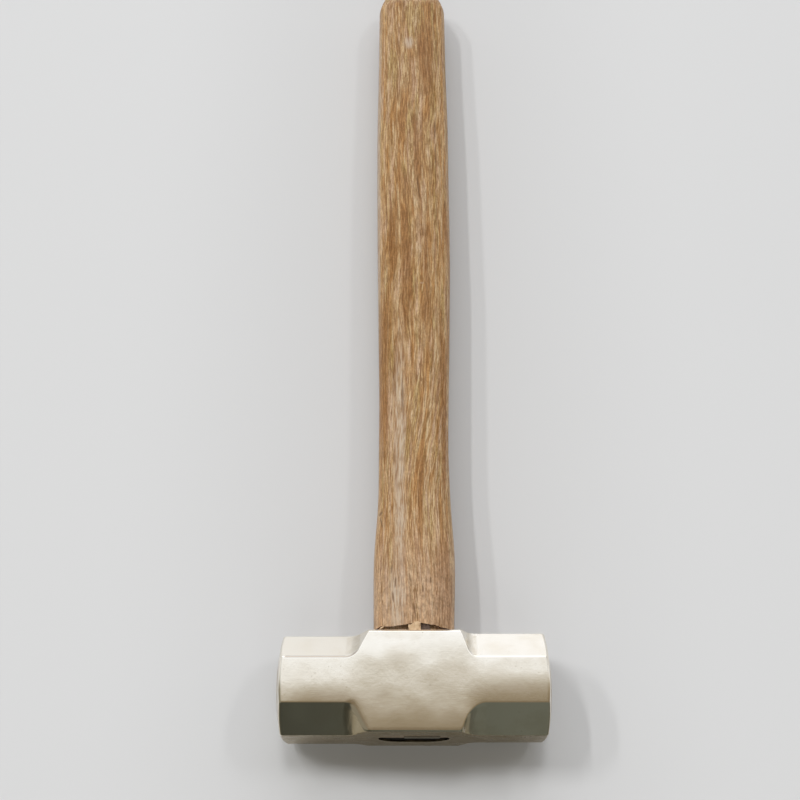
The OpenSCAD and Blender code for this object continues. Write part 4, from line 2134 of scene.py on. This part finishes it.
@dataclass
class Studio:
    """Floor, lamps, surroundings and camera.

    Attributes:
        lamps: the lamps.
        dark_left: colour of the dim side of the room, towards -Y and left.
        dark_right: its colour to the right.
        dark_x: how it goes from one to the other.
        dark_y: how the dim side comes in.
        overhead: colours of the ceiling by how far they lie towards +Y.
        left_wall: the room's left wall.
        left_ceiling: the ceiling to the left.
        right_ceiling: the ceiling to the right.
        pane: the window's upper part.
        window: the window, low down at the bright end.
        corners: the room's corners beside the window.
        backdrop: what the camera sees past the floor.
        floor_contact: y and z of the two places where the hammer touches the floor.
        floor_side: size of the floor.
        eye: place of the camera.
        tilt_deg: how far the camera looks up from straight down.
        lens: its lens.
        sensor: width of its sensor.
        sight_m: nearest and farthest that it sees, in metres.
    """

    lamps: tuple[Lamp, ...] = (
        Lamp("lamp_a", (-0.43, 0.33, 0.85), 0.175, 1.8, 15.0),
        Lamp("lamp_b", (-0.60, 0.27, 0.75), 0.11, 2.2, 11.0),
        Lamp("lamp_c", (0.53, 0.31, 0.85), 0.075, 4.0, 12.0),
        Lamp("lamp_d", (0.0, 0.30, 0.95), 0.175, 8.0, 11.0),
        Lamp("lamp_e", (0.0, -0.75, 0.65), 0.14, 40.0, 40.0),
    )
    dark_left: Colour = (0.052, 0.052, 0.040)
    dark_right: Colour = (0.125, 0.130, 0.105)
    dark_x: Span = Span(-0.12, 0.12)
    dark_y: Span = Span(-0.15, -0.45)
    overhead: tuple[tuple[float, Colour], ...] = (
        (0.02, (0.20, 0.155, 0.100)),
        (0.06, (0.238, 0.188, 0.120)),
        (0.09, (0.290, 0.235, 0.153)),
        (0.115, (0.350, 0.290, 0.205)),
        (0.135, (0.435, 0.380, 0.293)),
        (0.155, (0.585, 0.545, 0.465)),
        (0.172, (0.83, 0.82, 0.785)),
        (0.187, (1.02, 1.045, 1.08)),
        (0.23, (1.05, 1.08, 1.145)),
        (0.60, (1.03, 1.055, 1.11)),
    )
    left_wall: RoomPart = RoomPart((0.235, 0.215, 0.165), (
        (Way.X, Span(-0.15, -0.40)), (Way.Y, Span(-0.75, -0.50)), (Way.Y, Span(0.26, 0.12))))
    left_ceiling: RoomPart = RoomPart((0.62, 0.61, 0.58), (
        (Way.X, Span(-0.20, -0.45)), (Way.Y, Span(0.10, 0.35)), (Way.Z, Span(0.10, 0.55))))
    right_ceiling: RoomPart = RoomPart((0.46, 0.46, 0.46), (
        (Way.X, Span(0.20, 0.45)), (Way.Y, Span(0.10, 0.35)), (Way.Z, Span(0.10, 0.55))))
    pane: RoomPart = RoomPart((2.10, 2.13, 2.22), (
        (Way.Y, Span(0.55, 0.75)), (Way.Z, Span(0.22, 0.34)), (Way.Z, Span(0.75, 0.55)),
        (Way.ASIDE, Span(0.45, 0.25))))
    window: RoomPart = RoomPart((1.06, 1.07, 1.11), (
        (Way.Y, Span(0.1, 0.3)), (Way.Z, Span(0.25, 0.05))))
    corners: RoomPart = RoomPart((0.42, 0.38, 0.32), (
        (Way.Y, Span(0.1, 0.3)), (Way.Z, Span(0.25, 0.05)), (Way.ASIDE, Span(0.60, 0.85))))
    backdrop: Colour = (0.86, 0.87, 0.88)
    floor_contact: tuple[Point2, Point2] = ((20.1, 0.0), (373.0, 7.8))
    floor_side: float = 6000.0
    eye: Point3 = (-5.9, -95.775, 542.273)
    tilt_deg: float = 23.9376
    lens: float = 54.0
    sensor: float = 36.0
    sight_m: Point2 = (0.01, 20.0)

    def build_floor(self) -> None:
        """Lay the floor under the hammer's two places of contact."""
        (y0, z0), (y1, z1) = self.floor_contact
        bm = bmesh.new()
        bmesh.ops.create_grid(bm, x_segments=2, y_segments=2, size=self.floor_side / 2)
        turn = Matrix.Rotation(math.atan2(z1 - z0, y1 - y0), 3, "X")
        bmesh.ops.rotate(bm, cent=(0, 0, 0), matrix=turn, verts=bm.verts)
        bmesh.ops.translate(bm, vec=(0, y0, z0), verts=bm.verts)
        bmesh.ops.scale(bm, vec=(MM,) * 3, verts=bm.verts)
        mesh_object(bm, "floor", (PaleFloor(),))

    def build_surroundings(self) -> None:
        """Surround the hammer with a room that is bright on one side."""
        world = bpy.data.worlds.new("room")
        bpy.context.scene.world = world
        world.use_nodes = True
        nodes = Nodes(world.node_tree)
        x, y, z = nodes.parts(nodes.add("TexCoord").outputs["Generated"])
        along = {Way.X: x, Way.Y: y, Way.Z: z, Way.ASIDE: nodes.math("ABSOLUTE", x)}
        dark = nodes.mix(nodes.span(x, self.dark_x), self.dark_left, self.dark_right)
        room = nodes.mix(nodes.span(y, self.dark_y), nodes.ramp(y, self.overhead), dark)
        for part in (self.left_wall, self.left_ceiling, self.right_ceiling, self.pane,
                     self.window, self.corners):
            limits = [nodes.span(along[way], span) for way, span in part.limits]
            room = nodes.mix(nodes.times(*limits), room, part.colour)
        seen = nodes.add("LightPath").outputs["Is Camera Ray"]
        glow = nodes.add("Background", nodes.mix(seen, room, self.backdrop))
        nodes.add("OutputWorld", glow.outputs[0])

    def build_camera(self) -> None:
        """Set up the camera at the photograph's angle."""
        data = bpy.data.cameras.new("camera")
        data.lens, data.sensor_width = self.lens, self.sensor
        data.clip_start, data.clip_end = self.sight_m
        camera = bpy.data.objects.new("camera", data)
        camera.location = Vector(self.eye) * MM
        camera.rotation_euler = (math.radians(self.tilt_deg), 0.0, 0.0)
        bpy.context.scene.collection.objects.link(camera)
        bpy.context.scene.camera = camera

    def build(self) -> None:
        """Set up everything round the hammer."""
        bpy.context.scene.view_settings.view_transform = "Standard"
        self.build_floor()
        self.build_surroundings()
        self.build_camera()
        for lamp in self.lamps:
            lamp.build()


SPLINTERS = (
    Splinter("raised_chip", (1.4, 21.8, 34.2), (1.5, 25.8, 34.6), 2.7, 1.2, FRESH_WOOD, 2.0),
    Splinter("side_chip", (-0.8, 21.8, 34.1), (-0.9, 25.0, 34.4), 2.6, 1.1, FRESH_WOOD, 3.0),
    Splinter("left_sliver", (-12.4, 25.9, 30.6), (-15.9, 22.4, 28.9), 0.9, 0.7, FRESH_WOOD, 4.0),
    # painted shadow: a sliver coloured grey-brown where the raised chip casts its shadow
    Splinter("shadow_sliver", (5.0, 25.4, 32.4), (5.0, 22.4, 32.6), 3.8, 1.2, SHADOW_WOOD, 6.0),
)


def dress_wood_wedge() -> None:
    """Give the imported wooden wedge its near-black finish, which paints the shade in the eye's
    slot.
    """
    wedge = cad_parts["wood_wedge"]
    wedge.data.materials.clear()
    wedge.data.materials.append(SHADED_WEDGE_WOOD.material())
    LOG.info("wood_wedge: as packed")


def main() -> None:
    """Build the studio and every piece of the hammer in order."""
    logging.basicConfig(level=logging.INFO, format="%(message)s")
    Studio().build()
    for maker in (Head(), Handle(), SteelWedge()):
        maker.build()
    dress_wood_wedge()
    for splinter in SPLINTERS:
        splinter.build()


if __name__ == "__main__":
    main()
